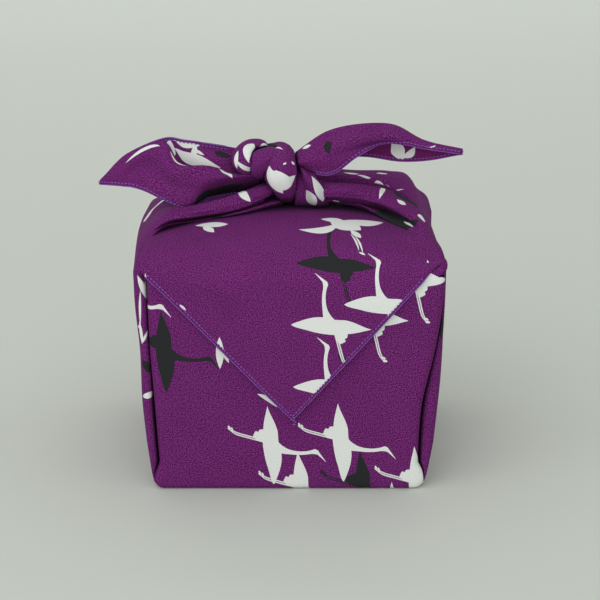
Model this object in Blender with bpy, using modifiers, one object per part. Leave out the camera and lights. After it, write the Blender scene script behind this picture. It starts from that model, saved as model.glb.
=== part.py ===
"""A furoshiki wrap: one square of hemmed cloth folded and tied round a box-shaped space.

The cloth lies on its diagonal. Its near corner goes up the front and over the top, its far
corner goes up the back, over the top and hangs down the front as a pointed flap, and its left
and right corners come up the sides, are gathered and are tied in a square knot with two free
tails. At the four upright edges the spare cloth lies in a pleat of three layers.

Lengths below are in millimetres: x to the right, y to the back, z up, from the middle of the
underside. Every number of a sheet's shape is on the middle of its thickness.
"""

import math

import bmesh
import bpy
import numpy as np
from mathutils import Matrix, Vector

MM = 0.001
THICKNESS = 1.0
LAYER = 2.0  # from the middle of one layer to the middle of the next

PANEL_Y = 59.0  # front and back panels
BOTTOM_Z = THICKNESS / 2
BOTTOM_ROUND = 2.4
UNDER_TOP_Z = 105.6  # the near corner's layer on the top
WALL_TOP = 100.0  # where the walls turn into the layers on the top
EDGE_Z = 101.4  # height of the centres that the top edges turn round

CURL = 3.2  # radius of a panel's upright edge
PLEAT_GAP = 2.4  # between the layers of an upright pleat
PLEAT_START, PLEAT_FULL = 3.2, 12.5  # heights between which the pleat opens
PLEAT_DEEPEST = 50.0
ROOT_Y, ROOT_Z = 55.0, 6.6  # middle of the lump at a pleat's foot
ROOT_RADII = (2.4, 4.2, 4.2)
FOLD_SET_BACK = 4.0  # a side's front fold lies this far behind the front panel

NEAR_FRONT, NEAR_BACK = 55.0, 52.4  # where the near corner's layer turns at the top's edges
NEAR_RADIUS = PANEL_Y - NEAR_FRONT
NEAR_HALF = 55.5  # half width of its point, which hangs inside the back
NEAR_POINT = 70.0  # and the point's length

FLAP_TIP = (3.0, 34.6)  # x and z of the far corner's point
FLAP_HALF = 67.6  # half of the flap's width at the top edge
FLAP_TOP_Z = 106.0
FLAP_LIFT = 1.4  # how far the point stands off the front panel


def table(columns, *rows):
    """Rows of numbers under named columns."""
    return dict(zip(columns.split(), np.array(rows, float).T))


# Half widths of the front panel, and of the sides outside it, up the walls.
WALLS = table(
    "z panel_left panel_right side_left side_right",
    (0, 59.0, 58.5, 59.5, 59.5),
    (8, 59.5, 58.2, 62.0, 61.2),
    (20, 60.0, 58.9, 63.8, 63.6),
    (42, 60.4, 60.6, 65.8, 66.0),
    (64, 61.6, 62.4, 66.7, 67.1),
    (84, 62.3, 63.4, 67.2, 67.7),
    (100, 62.6, 63.6, 67.8, 68.0),
)

# Half widths of the two layers on the top, along their way.
NEAR_TOP = table("y half_width", (-38, 57), (-14, 57), (14, 57), (38, 57))
FAR_TOP = table("y half_width", (36, 57), (14, 57), (-8, 58.5), (-28, 61), (-44, 64.2))

# Each fold of a gathered side, front to back: where it lies across the side (0 to 1), then
# five points from the shoulder to the inside of the knot.
RIGHT_FOLDS = table(
    "across x0 y0 z0 x1 y1 z1 x2 y2 z2 x3 y3 z3 x4 y4 z4",
    (0.00, 64.6, -50, 110.0, 57.5, -21, 112.0, 44, -6, 114.5, 27, -1, 116.0, 10, -3, 117),
    (0.17, 65.2, -35, 111.5, 58.0, -13, 114.3, 45, -4, 118.0, 28, 1, 120.5, 10, -3, 122),
    (0.34, 65.4, -16, 111.0, 58.2, -4, 113.4, 45, 2, 117.6, 28, 5, 121.5, 10, 0, 124),
    (0.50, 65.2, 2, 112.0, 57.5, 4, 116.0, 44, 8, 122.8, 26, 8, 127.0, 10, 3, 127),
    (0.66, 64.6, 20, 110.6, 57.5, 14, 113.6, 44, 15, 118.5, 27, 13, 123.5, 10, 6, 125),
    (0.86, 62.0, 44, 113.0, 56.0, 43, 117.0, 42, 30, 123.4, 26, 18, 127.4, 10, 8, 127),
    (1.00, 62.4, 54, 107.5, 55.0, 55, 110.5, 41, 38, 113.5, 26, 24, 118.0, 10, 9, 121),
)
LEFT_FOLDS = table(
    "across x0 y0 z0 x1 y1 z1 x2 y2 z2 x3 y3 z3 x4 y4 z4",
    (0.00, -64.0, -50, 109.8, -58.5, -24, 111.6, -45, -19, 113.0, -27, -11, 114.5, -8, -8, 116),
    (0.17, -66.0, -34, 111.0, -57.5, -17, 113.6, -45, -13, 116.5, -27, -8, 119.5, -8, -8, 122),
    (0.42, -66.6, -6, 110.6, -59.0, -1, 113.2, -45, -1, 118.0, -28, 0, 122.5, -8, -3, 126),
    (0.58, -66.2, 13, 110.8, -58.0, 12, 112.6, -45, 9, 116.0, -28, 6, 120.5, -8, 1, 124),
    (0.74, -64.4, 29, 113.0, -57.0, 29, 115.6, -44, 22, 119.6, -28, 13, 124.0, -8, 4, 127),
    (0.88, -62.6, 44, 111.4, -55.0, 42, 113.0, -42, 31, 115.6, -27, 18, 119.5, -8, 7, 124),
    (1.00, -62.4, 54, 107.5, -54.0, 55, 110.0, -40, 39, 112.6, -26, 24, 115.5, -8, 9, 119),
)

# The tails' long lines from hem to hem, each from inside the knot out to the cloth's corner.
LEFT_TAIL = table(
    "x0 y0 z0 x1 y1 z1 x2 y2 z2 x3 y3 z3 x4 y4 z4",
    (-15, -5, 130, -36, -14.5, 124.6, -52, -17, 120.6, -68, -11, 125.4, -87, -3.2, 125.4),
    (-15, -8, 134, -36, -15.0, 129.6, -52, -16, 129.4, -67, -10, 131.8, -87, -3.6, 127.0),
    (-15, -5, 138, -36, -9.5, 134.0, -50, -10, 137.0, -63, -7, 144.4, -86, -2.6, 128.6),
    (-15, -1, 137, -36, -4.5, 131.0, -49, -4, 134.5, -62, -3, 138.0, -85, -0.6, 127.4),
    (-15, 2, 141, -37, 1.5, 143.8, -50, 1.0, 147.0, -61, 0, 145.0, -85, 1.4, 127.8),
)
RIGHT_TAIL = table(
    "x0 y0 z0 x1 y1 z1 x2 y2 z2 x3 y3 z3 x4 y4 z4 x5 y5 z5",
    (5, -6, 131, 21, -9, 134.4, 33, -9.5, 141.5, 46, -8.0, 147.0, 62, -5.0, 143.4, 79, -2.4, 140.0),
    (5, -8, 136, 20, -11, 142.0, 33, -11, 147.4, 46, -9.0, 150.6, 62, -4.6, 145.4, 79, -2.4, 141.4),
    (5, -3, 142, 19, -4, 150.6, 34, -3, 153.2, 47, -2.5, 152.8, 61, -1.5, 145.8, 79, -0.6, 142.2),
    (5, 2, 138, 21, 3, 144.0, 35, 4, 146.6, 48, 4, 145.6, 61, 2.5, 142.0, 78, 1.2, 141.2),
    (5, 3, 133, 22, 4, 137.0, 36, 5, 138.0, 50, 4.5, 137.4, 62, 3.2, 138.4, 78, 1.6, 139.8),
)

# The knot's turns: half width and half depth of the gathered cloth along each. The width lies
# across the turn, the depth points away from the knot's heart.
KNOT_HEART = (-4, 0, 129)
KNOT_TURNS = {
    "round_turn": table(
        "x y z wide deep",
        (-2, 2, 140, 6.0, 3.5),
        (-10, -2, 140.6, 7.2, 4.4),
        (-15.4, -4, 134.5, 7.8, 4.8),
        (-14, -5, 126.5, 7.4, 4.6),
        (-6, -4, 120, 5.5, 3.5),
    ),
    "front_turn": table(
        "x y z wide deep",
        (-4, 5, 139, 6.0, 3.5),
        (-4, -4, 140.2, 6.6, 4.0),
        (-4.6, -10, 133.5, 7.8, 4.8),
        (-6.4, -10, 124.5, 7.2, 4.6),
        (-8, -4, 118, 4.6, 3.0),
    ),
    "under_turn": table(
        "x y z wide deep",
        (0, -2, 139, 5.0, 3.0),
        (4, -7, 133, 5.4, 3.4),
        (8, -8, 125, 5.8, 3.6),
        (13, -5.5, 119, 6.4, 2.6),
        (22, -1, 117.4, 6.0, 1.8),
    ),
    "back_turn": table(
        "x y z wide deep",
        (-4, -3, 140, 6.0, 3.5),
        (-2, 6, 139.4, 7.2, 4.4),
        (0, 11, 133, 8.0, 5.0),
        (-3, 10, 124, 7.5, 4.6),
        (-8, 4, 118, 5.5, 3.5),
    ),
    "heart": table(
        "x y z wide deep",
        (-19.5, -2, 131, 3.6, 4.2),
        (-13, -1.5, 130, 8.8, 9.2),
        (-5, 0, 130, 10.0, 10.0),
        (3, 0, 130, 9.0, 9.0),
        (12, 0, 128, 5.0, 5.0),
    ),
}


def smooth(values, at):
    """Catmull-Rom curve through the rows of values, read at row numbers that may lie between."""
    values = np.asarray(values, float)
    at = np.asarray(at, float)
    last = len(values) - 1
    i = np.clip(np.floor(at).astype(int), 0, last - 1)
    t = (at - i).reshape((-1,) + (1,) * (values.ndim - 1))
    here, there = values[i], values[i + 1]
    inner, outer = (i > 0).reshape(t.shape), (i < last - 1).reshape(t.shape)
    before = np.where(inner, values[np.maximum(i - 1, 0)], 2 * here - there)
    after = np.where(outer, values[np.minimum(i + 2, last)], 2 * there - here)
    return 0.5 * (
        2 * here
        + (there - before) * t
        + (2 * before - 5 * here + 4 * there - after) * t**2
        + (3 * here - before - 3 * there + after) * t**3
    )


def smooth_at(x, xs, ys):
    """Catmull-Rom curve of ys over the rising xs, read at x."""
    return smooth(ys, np.interp(x, xs, np.arange(len(xs))))


def turn(centre, radius, start, stop, steps):
    """Points of an arc in the plan, between two angles in degrees."""
    angles = np.radians(np.linspace(start, stop, steps + 1))
    return np.stack([centre[0] + radius * np.cos(angles), centre[1] + radius * np.sin(angles)], axis=1)


def line(start, stop, steps):
    return np.linspace(start, stop, steps + 1)


# Steps along a quarter of a wall's section: panel, curl, wing, turn, return, turn, side.
PANEL_STEPS, CURL_STEPS, WING_STEPS, TURN_STEPS, SIDE_STEPS = 5, 3, 3, 3, 6
PANEL_COLUMNS = PANEL_STEPS + 1
FOLD_COLUMN = PANEL_STEPS + CURL_STEPS + WING_STEPS + TURN_STEPS + WING_STEPS


def quarter(z, panel_edge, side_fold):
    """Section of one corner at a height: from the panel's middle round the pleat to the side's middle."""
    open_ = np.clip((z - PLEAT_START) / (PLEAT_FULL - PLEAT_START), 0, 1)
    edge = side_fold + (panel_edge - side_fold) * open_
    gap = PLEAT_GAP * open_
    depth = CURL + open_ * (min(0.95 * z, PLEAT_DEEPEST) - CURL)
    wing = min(edge, side_fold - 2 * gap)
    back = -PANEL_Y + depth
    front = -PANEL_Y + CURL + (FOLD_SET_BACK - CURL + gap / 2) * open_
    bulge = 1.5 * open_
    pieces = [
        line((0, -PANEL_Y), (edge - CURL, -PANEL_Y), PANEL_STEPS),
        turn((edge - CURL, -PANEL_Y + CURL), CURL, -90, 0, CURL_STEPS)[1:],
        line((wing, min(back, -PANEL_Y + CURL + 5 * open_)), (wing, back), WING_STEPS - 1),
        turn((wing + gap / 2, back), gap / 2, 180, 0, TURN_STEPS)[1:],
        line((wing + gap, back), (side_fold - gap, front), WING_STEPS)[1:],
        turn((side_fold - gap / 2, front), gap / 2, 180, 360, TURN_STEPS)[1:],
    ]
    side = line((side_fold, front), (side_fold, 0), SIDE_STEPS)[1:]
    side[:, 0] += bulge * (1 - (side[:, 1] / PANEL_Y) ** 2)
    return np.concatenate(pieces + [side])


def wall(name, z):
    """A column of the walls' table, read at a height."""
    return float(smooth_at([z], WALLS["z"], WALLS[name])[0])


def section(z):
    """The whole section at a height, from the front's middle to the right and round to it again."""
    right = quarter(z, wall("panel_right", z), wall("side_right", z))
    left = quarter(z, wall("panel_left", z), wall("side_left", z))
    half = np.concatenate([right, (right * (1, -1))[-2::-1]])
    other = np.concatenate([left, (left * (1, -1))[-2::-1]]) * (-1, 1)
    return np.concatenate([half, other[-2:0:-1]])


def settle(points):
    """Moves points by a slow wave, so that no face is dead flat above the foot."""
    x, y, z = points.T
    rise = np.clip((z - 8) / 30, 0, 1)[:, None]
    wave = np.stack(
        [
            0.7 * np.sin(y / 19 + 0.8) * np.sin(z / 27 + 0.5),
            0.8 * np.sin(x / 21 + 0.4) * np.sin(z / 24 + 1.1),
            0.5 * np.sin(x / 25 + 1.2) * np.sin(y / 22 + 0.3),
        ],
        axis=1,
    )
    return points + rise * wave


class Sheet:
    """Open surface collected as grids of points that share their edges."""

    def __init__(self):
        self.points = []
        self.faces = []

    def grid(self, rows, closed=False):
        rows = np.asarray(rows, float)
        count, columns = rows.shape[:2]
        first = len(self.points)
        self.points.extend(rows.reshape(-1, 3))
        for r in range(count - 1):
            for c in range(columns if closed else columns - 1):
                a = first + r * columns + c
                b = first + r * columns + (c + 1) % columns
                self.faces.append((a, b, b + columns, a + columns))

    def cap(self, ring):
        first = len(self.points)
        self.points.extend(np.asarray(ring, float))
        self.faces.append(tuple(range(first, first + len(ring)))[::-1])

    def mesh(self, name):
        mesh = bpy.data.meshes.new(name)
        mesh.from_pydata(settle(np.array(self.points)) * MM, [], self.faces)
        work = bmesh.new()
        work.from_mesh(mesh)
        bmesh.ops.remove_doubles(work, verts=work.verts, dist=0.02 * MM)
        bmesh.ops.dissolve_degenerate(work, edges=work.edges, dist=0.01 * MM)
        bmesh.ops.recalc_face_normals(work, faces=work.faces)
        work.to_mesh(mesh)
        work.free()
        return mesh


def at_height(points, z):
    return np.column_stack([points, np.full(len(points), z)])


def columns_of_panel(row, side):
    """The part of a wall section that is the flat panel: 'front' or 'back', in rising x."""
    half = len(row) // 2
    if side == "front":
        return np.concatenate([row[-PANEL_STEPS:], row[:PANEL_COLUMNS]])
    return row[half - PANEL_STEPS : half + PANEL_STEPS + 1][::-1]


def columns_of_side(row, side):
    """The part of a wall section that is a side's outer layer with its two folds, front to back."""
    half = len(row) // 2
    if side == "right":
        return row[FOLD_COLUMN : half - FOLD_COLUMN + 1]
    return row[half + FOLD_COLUMN : len(row) - FOLD_COLUMN + 1][::-1]


def walls(sheet):
    """Flat bottom, its rounded rim and the four walls with a pleat at each corner."""
    rim = section(0)
    reach = PANEL_Y
    rows = []
    for angle in np.radians([0, 35, 65]):
        inset = BOTTOM_ROUND * (1 - math.sin(angle))
        z = BOTTOM_Z + BOTTOM_ROUND * (1 - math.cos(angle))
        rows.append(at_height(rim * (1 - inset / reach), z))
    sheet.cap(rows[0])
    for z in (3.2, 5.4, 8.8, 13, 26, 41, 56, 71, 86, WALL_TOP):
        rows.append(at_height(section(z), z))
    sheet.grid(rows, closed=True)
    return rows[-1]


def across(row, half_width, middle, y, z):
    """A straight row of points with the spacing of a panel's own row."""
    x = row[:, 0] - row[:, 0].mean()
    x = x / np.abs(x).max() * half_width + middle
    return np.column_stack([x, np.full(len(x), y), np.full(len(x), z)])


def turned(y, radius, angle):
    """Point of an arc about a top edge's centre line; a negative radius lies to the front."""
    return y + radius * math.cos(angle), EDGE_Z + abs(radius) * math.sin(angle)


def near_corner(sheet, row):
    """From the front panel over the top, and down inside the back as a point."""
    rows = [row]
    for angle in np.radians([10, 45, 90]):
        y, z = turned(-NEAR_FRONT, -NEAR_RADIUS, angle)
        rows.append(across(row, PANEL_Y, 0, y, z))
    for y, half_width in zip(NEAR_TOP["y"], NEAR_TOP["half_width"]):
        rows.append(across(row, half_width, 0, y, UNDER_TOP_Z))
    for angle in np.radians([90, 45, 0]):
        y, z = turned(NEAR_BACK, NEAR_RADIUS, angle)
        rows.append(across(row, NEAR_HALF, 0, y, z))
    for share in (0.17, 0.4, 0.63, 0.83, 0.94):
        z = EDGE_Z - NEAR_POINT * share
        rows.append(across(row, NEAR_HALF * (1 - share), 0, NEAR_BACK + NEAR_RADIUS, z))
    sheet.grid(rows)


def far_corner(sheet, row):
    """From the back panel over the top, and down the front as the pointed flap."""
    radius = UNDER_TOP_Z + LAYER - EDGE_Z
    rows = [row]
    for angle in np.radians([10, 45, 90]):
        y, z = turned(PANEL_Y - radius, radius, angle)
        rows.append(across(row, PANEL_Y, 0, y, z))
    for y, half_width in zip(FAR_TOP["y"], FAR_TOP["half_width"]):
        rows.append(across(row, half_width, 0, y, UNDER_TOP_Z + LAYER))
    for angle in np.radians([90, 55, 20]):
        y, z = turned(radius - PANEL_Y - LAYER, -radius, angle)
        rows.append(across(row, FLAP_HALF - 0.6, 0, y, z))
    tip_x, tip_z = FLAP_TIP
    for share in (0.112, 0.252, 0.42, 0.588, 0.756, 0.896, 0.983):
        y = -PANEL_Y - LAYER - FLAP_LIFT * share**2
        z = FLAP_TOP_Z + (tip_z - FLAP_TOP_Z) * share
        rows.append(across(row, FLAP_HALF * (1 - share), tip_x * share, y, z))
    sheet.grid(rows)


def fold_points(folds, stations):
    """(fold, station, xyz) of a table of folds."""
    return np.stack(
        [np.column_stack([folds[f"{axis}{i}"] for axis in "xyz"]) for i in range(stations)], axis=1
    )


def gathered_side(sheet, row, folds, steps):
    """From a side's outer layer over the top edge, narrowing in its folds to the knot."""
    lines = fold_points(folds, 5)
    share = np.linspace(0, 1, len(row))
    place = np.interp(share, folds["across"], np.arange(len(lines)))
    stations = [row] + [smooth(lines[:, i], place) for i in range(5)]
    lean = (np.array(stations[1]) - row) * (0.35, 0.3, 0.62)
    stations.insert(1, row + lean)
    sheet.grid(smooth(np.array(stations), np.linspace(0, len(stations) - 1, steps + 1)))


def tail(name, lines, stations, wide, long):
    """A free end: a sheet lofted through its long lines."""
    points = fold_points(lines, stations)
    columns = smooth(points, np.linspace(0, len(points) - 1, wide + 1))
    rows = smooth(columns.transpose(1, 0, 2), np.linspace(0, stations - 1, long + 1))
    sheet = Sheet()
    sheet.grid(rows)
    return thick(name, sheet)


def gathered_turn(name, path, around=12, along=12):
    """One turn of the knot: a flattened bundle of cloth along a path, closed at both ends."""
    rows = np.column_stack([path[c] for c in "x y z wide deep".split()])
    rows = smooth(rows, np.linspace(0, len(rows) - 1, along + 1))
    centre = rows[:, :3]
    forward = np.gradient(centre, axis=0)
    forward /= np.linalg.norm(forward, axis=1)[:, None]
    out = centre - np.array(KNOT_HEART) + (0, 0, 0.01)
    out -= (out * forward).sum(axis=1)[:, None] * forward
    out /= np.maximum(np.linalg.norm(out, axis=1), 1e-6)[:, None]
    side = np.cross(forward, out)
    angles = np.linspace(0, 2 * math.pi, around, endpoint=False)
    ring = (
        centre[:, None]
        + rows[:, 3, None, None] * np.cos(angles)[None, :, None] * side[:, None]
        + rows[:, 4, None, None] * np.sin(angles)[None, :, None] * out[:, None]
    )
    sheet = Sheet()
    sheet.grid(ring, closed=True)
    sheet.cap(ring[0])
    sheet.cap(ring[-1][::-1])
    return helper(name, sheet.mesh(name))


def helper(name, mesh):
    made = bpy.data.objects.new(name, mesh)
    made.hide_render = True
    made.display_type = "WIRE"
    bpy.data.collections["joined_in"].objects.link(made)
    return made


def thicken(made):
    solid = made.modifiers.new("thickness", "SOLIDIFY")
    solid.thickness = THICKNESS * MM
    solid.offset = 0


def thick(name, sheet):
    made = helper(name, sheet.mesh(name))
    thicken(made)
    return made


def pleat_root(name, side, end):
    """The small lump at the foot of an upright pleat, where its three layers run together."""
    work = bmesh.new()
    outer = wall("side_right" if side > 0 else "side_left", ROOT_Z) + THICKNESS / 2
    place = Matrix.Translation(Vector((side * (outer - ROOT_RADII[0]), end * ROOT_Y, ROOT_Z)) * MM)
    size = Matrix.Diagonal((*(Vector(ROOT_RADII) * MM), 1))
    bmesh.ops.create_uvsphere(work, u_segments=10, v_segments=7, radius=1, matrix=place @ size)
    mesh = bpy.data.meshes.new(name)
    work.to_mesh(mesh)
    work.free()
    return helper(name, mesh)


def cloth_material():
    made = bpy.data.materials.new("purple_cloth")
    made.use_nodes = True
    shader = made.node_tree.nodes["Principled BSDF"]
    shader.inputs["Base Color"].default_value = (0.10, 0.012, 0.12, 1)
    shader.inputs["Roughness"].default_value = 0.85
    return made


def main():
    for old in list(bpy.data.objects):
        bpy.data.objects.remove(old)
    for name in ("furoshiki_wrap", "joined_in"):
        bpy.context.scene.collection.children.link(bpy.data.collections.new(name))

    body = Sheet()
    top = walls(body)
    near_corner(body, columns_of_panel(top, "front"))
    far_corner(body, columns_of_panel(top, "back"))
    gathered_side(body, columns_of_side(top, "right"), RIGHT_FOLDS, 11)
    gathered_side(body, columns_of_side(top, "left"), LEFT_FOLDS, 11)
    cloth = bpy.data.objects.new("wrap_cloth", body.mesh("wrap_cloth"))
    bpy.data.collections["furoshiki_wrap"].objects.link(cloth)
    cloth.data.materials.append(cloth_material())
    thicken(cloth)

    tail("left_tail", LEFT_TAIL, 5, 8, 9)
    tail("right_tail", RIGHT_TAIL, 6, 8, 10)
    for name, path in KNOT_TURNS.items():
        gathered_turn(name, path)

    for side in (-1, 1):
        for end in (-1, 1):
            pleat_root(f"pleat_root_{side}_{end}", side, end)

    joined = cloth.modifiers.new("one_piece", "BOOLEAN")
    joined.operation = "UNION"
    joined.operand_type = "COLLECTION"
    joined.collection = bpy.data.collections["joined_in"]
    joined.solver = "EXACT"
    joined.use_self = True


main()
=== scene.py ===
"""Looks of a furoshiki wrap: one square of printed crepe, folded round a box-shaped space and
tied on top in a square knot, with rolled hems, stitches and a print of flying cranes.

Lengths are in millimetres until a mesh is made: x to the right, y to the back, z up. A grid is an
array (rows, columns, xyz) of points on the middle of the cloth, and its print coordinates are an
array (rows, columns, 2) of millimetres on the flat cloth.
"""

import math

import bmesh
import bpy
import numpy as np
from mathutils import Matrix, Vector


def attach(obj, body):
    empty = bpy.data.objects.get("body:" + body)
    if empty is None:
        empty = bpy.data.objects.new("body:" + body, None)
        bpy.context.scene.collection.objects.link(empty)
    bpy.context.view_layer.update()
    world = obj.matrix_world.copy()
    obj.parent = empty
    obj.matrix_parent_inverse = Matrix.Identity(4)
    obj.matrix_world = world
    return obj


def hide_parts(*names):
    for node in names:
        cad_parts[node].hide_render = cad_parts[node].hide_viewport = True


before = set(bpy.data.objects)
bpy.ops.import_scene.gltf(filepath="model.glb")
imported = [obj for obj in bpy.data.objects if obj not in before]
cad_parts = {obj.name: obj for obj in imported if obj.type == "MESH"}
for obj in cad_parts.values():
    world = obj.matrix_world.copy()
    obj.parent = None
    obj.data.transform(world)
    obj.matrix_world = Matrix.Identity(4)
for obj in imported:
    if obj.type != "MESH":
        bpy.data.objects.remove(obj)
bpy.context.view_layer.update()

MM = 0.001
CLOTH = 0.42  # thickness of the crepe
LAYER = 2.0  # from one layer's middle to the next

BOX_WIDTH = 117
PANEL_Y = 59.0
BOTTOM_Z = 0.26
BOTTOM_ROUND = 2.4
UNDER_TOP_Z = 105.6
WALL_TOP = 100.0
EDGE_Z = 101.4

CURL = 3.0
PLEAT_GAP = 1.1
PLEAT_START, PLEAT_FULL = 3.2, 12.5
PLEAT_DEEPEST = 54.0
PLEAT_SHUTS, PLEAT_SHUT = (32, 62), 0.75  # the heights between which its gap narrows, and by what share
FOLD_DEPTH = 3.2
SIDE_BULGE, SIDE_HOLLOW, HOLLOW_START = 1.5, -2.0, 60  # the right side turns hollow above a height

NEAR_FRONT, NEAR_BACK = 55.0, 52.4
NEAR_RADIUS = PANEL_Y - NEAR_FRONT
NEAR_HALF = 55.5
NEAR_POINT = 70.0

FLAP_TIP = (1.6, 35.0)
FLAP_LEFT, FLAP_RIGHT = (-67.4, 104.8), (66.6, 108.8)
FLAP_LIFT = 1.2


def table(columns, *rows):
    """Rows of numbers under named columns."""
    return dict(zip(columns.split(), np.array(rows, float).T))


def lines_table(stations, *rows, first=""):
    """A table of lines: after the first column, where one is named, x, y and z of each station."""
    return table(first + "".join(f" x{i} y{i} z{i}" for i in range(stations)), *rows)


# Half widths of the front panel, of the sides outside it, and how far each side's fold stands
# back from the panel, up the walls.
WALLS = table(
    "z panel_left panel_right side_left side_right set_left set_right",
    (0, 58.6, 57.6, 60.6, 59.4, 0.5, 0.5),
    (8, 58.4, 57.6, 62.4, 62.0, 1.2, 1.6),
    (20, 58.8, 57.8, 63.8, 64.4, 1.6, 2.2),
    (42, 59.8, 59.6, 65.2, 66.8, 1.8, 3.4),
    (64, 61.6, 64.0, 66.0, 67.8, 1.8, 5.6),
    (84, 62.6, 66.6, 68.2, 68.2, 2.0, 6.0),
    (100, 63.0, 67.4, 69.0, 68.2, 2.4, 6.0),
)

# The two layers on the top: the near corner's sheet, and the far corner's over it.
NEAR_TOP = table(
    "y z left right",
    (-57.8, 102.3, 66.0, 67.6),
    (-54.6, 105.0, 65.6, 68.4),
    (-49.0, 106.5, 64, 67),
    (-38, 106.8, 60, 62),
    (-14, 106.8, 57, 57),
    (14, 106.4, 57, 57),
    (38, 105.8, 57, 57),
)
FAR_TOP = table(
    "y z left right sag droop",
    (36, 111.0, 57, 57, 2.0, 0),
    (14, 115.0, 57.4, 57.4, 4.5, 0),
    (-8, 117.0, 59, 59.6, 6.2, 0),
    (-26, 116.6, 61.0, 62.2, 6.0, 0),
    (-38, 114.6, 63.6, 65.0, 4.2, 0.6),
    (-47, 111.8, 65.4, 67.0, 2.4, 2.0),
    (-53.2, 108.4, 66.8, 67.2, 0.6, 2.6),
    (-57.6, 104.6, 67.4, 62.9, 0, 0.6),
    (-60.2, 100.0, 62.9, 59.0, 0, 0),
)

# Most rows of the folds, the tails and the loose fold, and half of those of the knot's turns, were
# worked out by a helper program, from places chosen by eye and a chosen depth or height for each.
FOLD_STATIONS, TAIL_STATIONS, STRIP_STATIONS = 5, 6, 5

# Each fold of a gathered side, front to back: where it lies across the side (0 to 1), then
# five points from the shoulder to the inside of the knot.
RIGHT_FOLDS = lines_table(
    FOLD_STATIONS,
    (0, 65.8, -46, 106, 57.2, -33.6, 111.3, 46.9, -20.3, 112, 32.2, 4.1, 114.2, 14.6, -1.5, 118),
    (0.08, 65.2, -40, 107.5, 58.2, -32, 112.7, 47, -20, 114.4, 31.6, -4, 118.3, 14.6, -6, 120.7),
    (0.15, 64.8, -34, 108.5, 58.7, -30, 113.5, 47.9, -11, 115.4, 31.2, -2, 119.2, 14.1, -6, 122.3),
    (0.24, 64.6, -26, 109, 59.2, -28, 114.8, 48.1, -15, 118.6, 30.6, -7, 121.6, 13.2, -8, 123.3),
    (0.38, 64.4, -14, 110, 59.7, -20, 116.8, 49.1, -11, 121.8, 30.1, -8, 125.7, 11.8, -8, 126.2),
    (0.5, 64.2, -3, 110.5, 59.9, -8, 117.2, 50, -2, 122.7, 29.7, -4, 127.9, 10.5, -4, 127.9),
    (0.57, 64, 5, 109.5, 59.5, 2.5, 114.1, 49.9, 8, 118, 29.4, 4.5, 124.3, 9.6, 1, 128.5),
    (0.66, 63.4, 13, 110, 58.2, 4, 117.2, 48.9, 5, 124.1, 29, 4, 128.7, 9.1, 3, 129),
    (0.8, 62.8, 27, 111.5, 58.2, 18, 122.1, 49.4, 16, 127.3, 28.7, 11, 129.5, 7.3, 8, 131.5),
    (0.92, 61, 44, 113, 55.6, 36, 122.1, 46.1, 27, 125.6, 28.8, 18, 127.9, 7.3, 11, 131.2),
    (1, 62, 54, 108, 57, 54, 112, 44, 41, 115, 27, 26, 119, 4.5, 13, 122),
    first="across",
)
LEFT_FOLDS = lines_table(
    FOLD_STATIONS,
    (0, -66, -50, 105, -59.4, -26.1, 111, -42.6, -13.5, 112.2, -23.6, -12.5, 114.5, -2.8, -1.8, 117.3),
    (0.06, -66.5, -44, 106, -58.9, -27, 113.1, -42.2, -18.5, 114.5, -23.6, -17, 117.7, -3.3, -6, 120.4),
    (0.12, -67, -38, 107, -58.3, -26, 113.7, -42, -13.5, 113, -23.2, -10.5, 117.8, -5.6, -2, 122.5),
    (0.22, -67.5, -30, 107.5, -57.9, -27, 115.5, -41.6, -20, 116.8, -22.7, -16.5, 120, -6.5, -8, 125.2),
    (0.36, -68, -16, 107.5, -57.3, -22, 117.3, -41.1, -20, 120, -22.7, -15.5, 124, -7.4, -8, 128.1),
    (0.5, -68, -2, 107.5, -56.1, -12, 118.1, -40.9, -14, 121.2, -22.8, -12, 126, -8.8, -5, 129.6),
    (0.58, -67.8, 6, 107.5, -55.7, -3, 116.2, -41, -6, 113.6, -22.6, -3, 119, -10.2, -1, 125.2),
    (0.7, -67.5, 16, 107.5, -56, 8, 116.1, -39.7, 6, 110.6, -23.3, 6, 115.8, -10.7, 5, 122.4),
    (0.82, -67, 30, 107, -56, 24, 115, -39.5, 18, 119, -23.5, 14, 125, -11, 8, 129.5),
    (0.93, -65, 45, 108, -54, 42, 114, -38.5, 32, 118, -23, 20, 124, -11.5, 11, 128),
    (1, -62.5, 54, 106, -54, 54, 109.5, -40, 40, 112, -24, 26, 116, -8, 12, 119),
    first="across",
)

# The tails' long lines from hem to hem, each from inside the knot out to the cloth's corner.
LEFT_TAIL = lines_table(
    TAIL_STATIONS,
    (-12.8, 0, 124, -36, -4, 121.5, -47.4, -15.6, 119.8,
     -67.8, -11, 127.2, -76.7, -8, 128.1, -87.1, -3.2, 127.7),
    (-12.8, -6, 131.8, -37.2, -13.5, 129.2, -48.6, -17.3, 122.4,
     -67.6, -10.8, 128.9, -76.7, -8, 129.7, -87.1, -3.3, 127.9),
    (-14.6, -8, 133, -36, -15.5, 133.0, -50.6, -16, 129.7,
     -66.8, -10, 133.3, -76.5, -8, 133.5, -87.1, -3.6, 128.3),
    (-15.1, -7, 133.4, -33.6, -10, 135.4, -50.8, -10, 139.4,
     -57.6, -7, 148.6, -73.7, -5.5, 142.7, -86.2, -2.6, 129.9),
    (-15.2, -2, 134, -35.3, -4, 133.1, -48.5, -3, 136.2,
     -55.7, -3, 142.7, -73.6, -2, 140.2, -85.1, -0.6, 128.9),
    (-18.4, 2, 142.5, -37.1, 1.5, 145.9, -48.1, 1, 147.6,
     -57.6, 0, 148.7, -73.8, 0.5, 141.2, -85.2, 1.4, 128.9),
)
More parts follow.
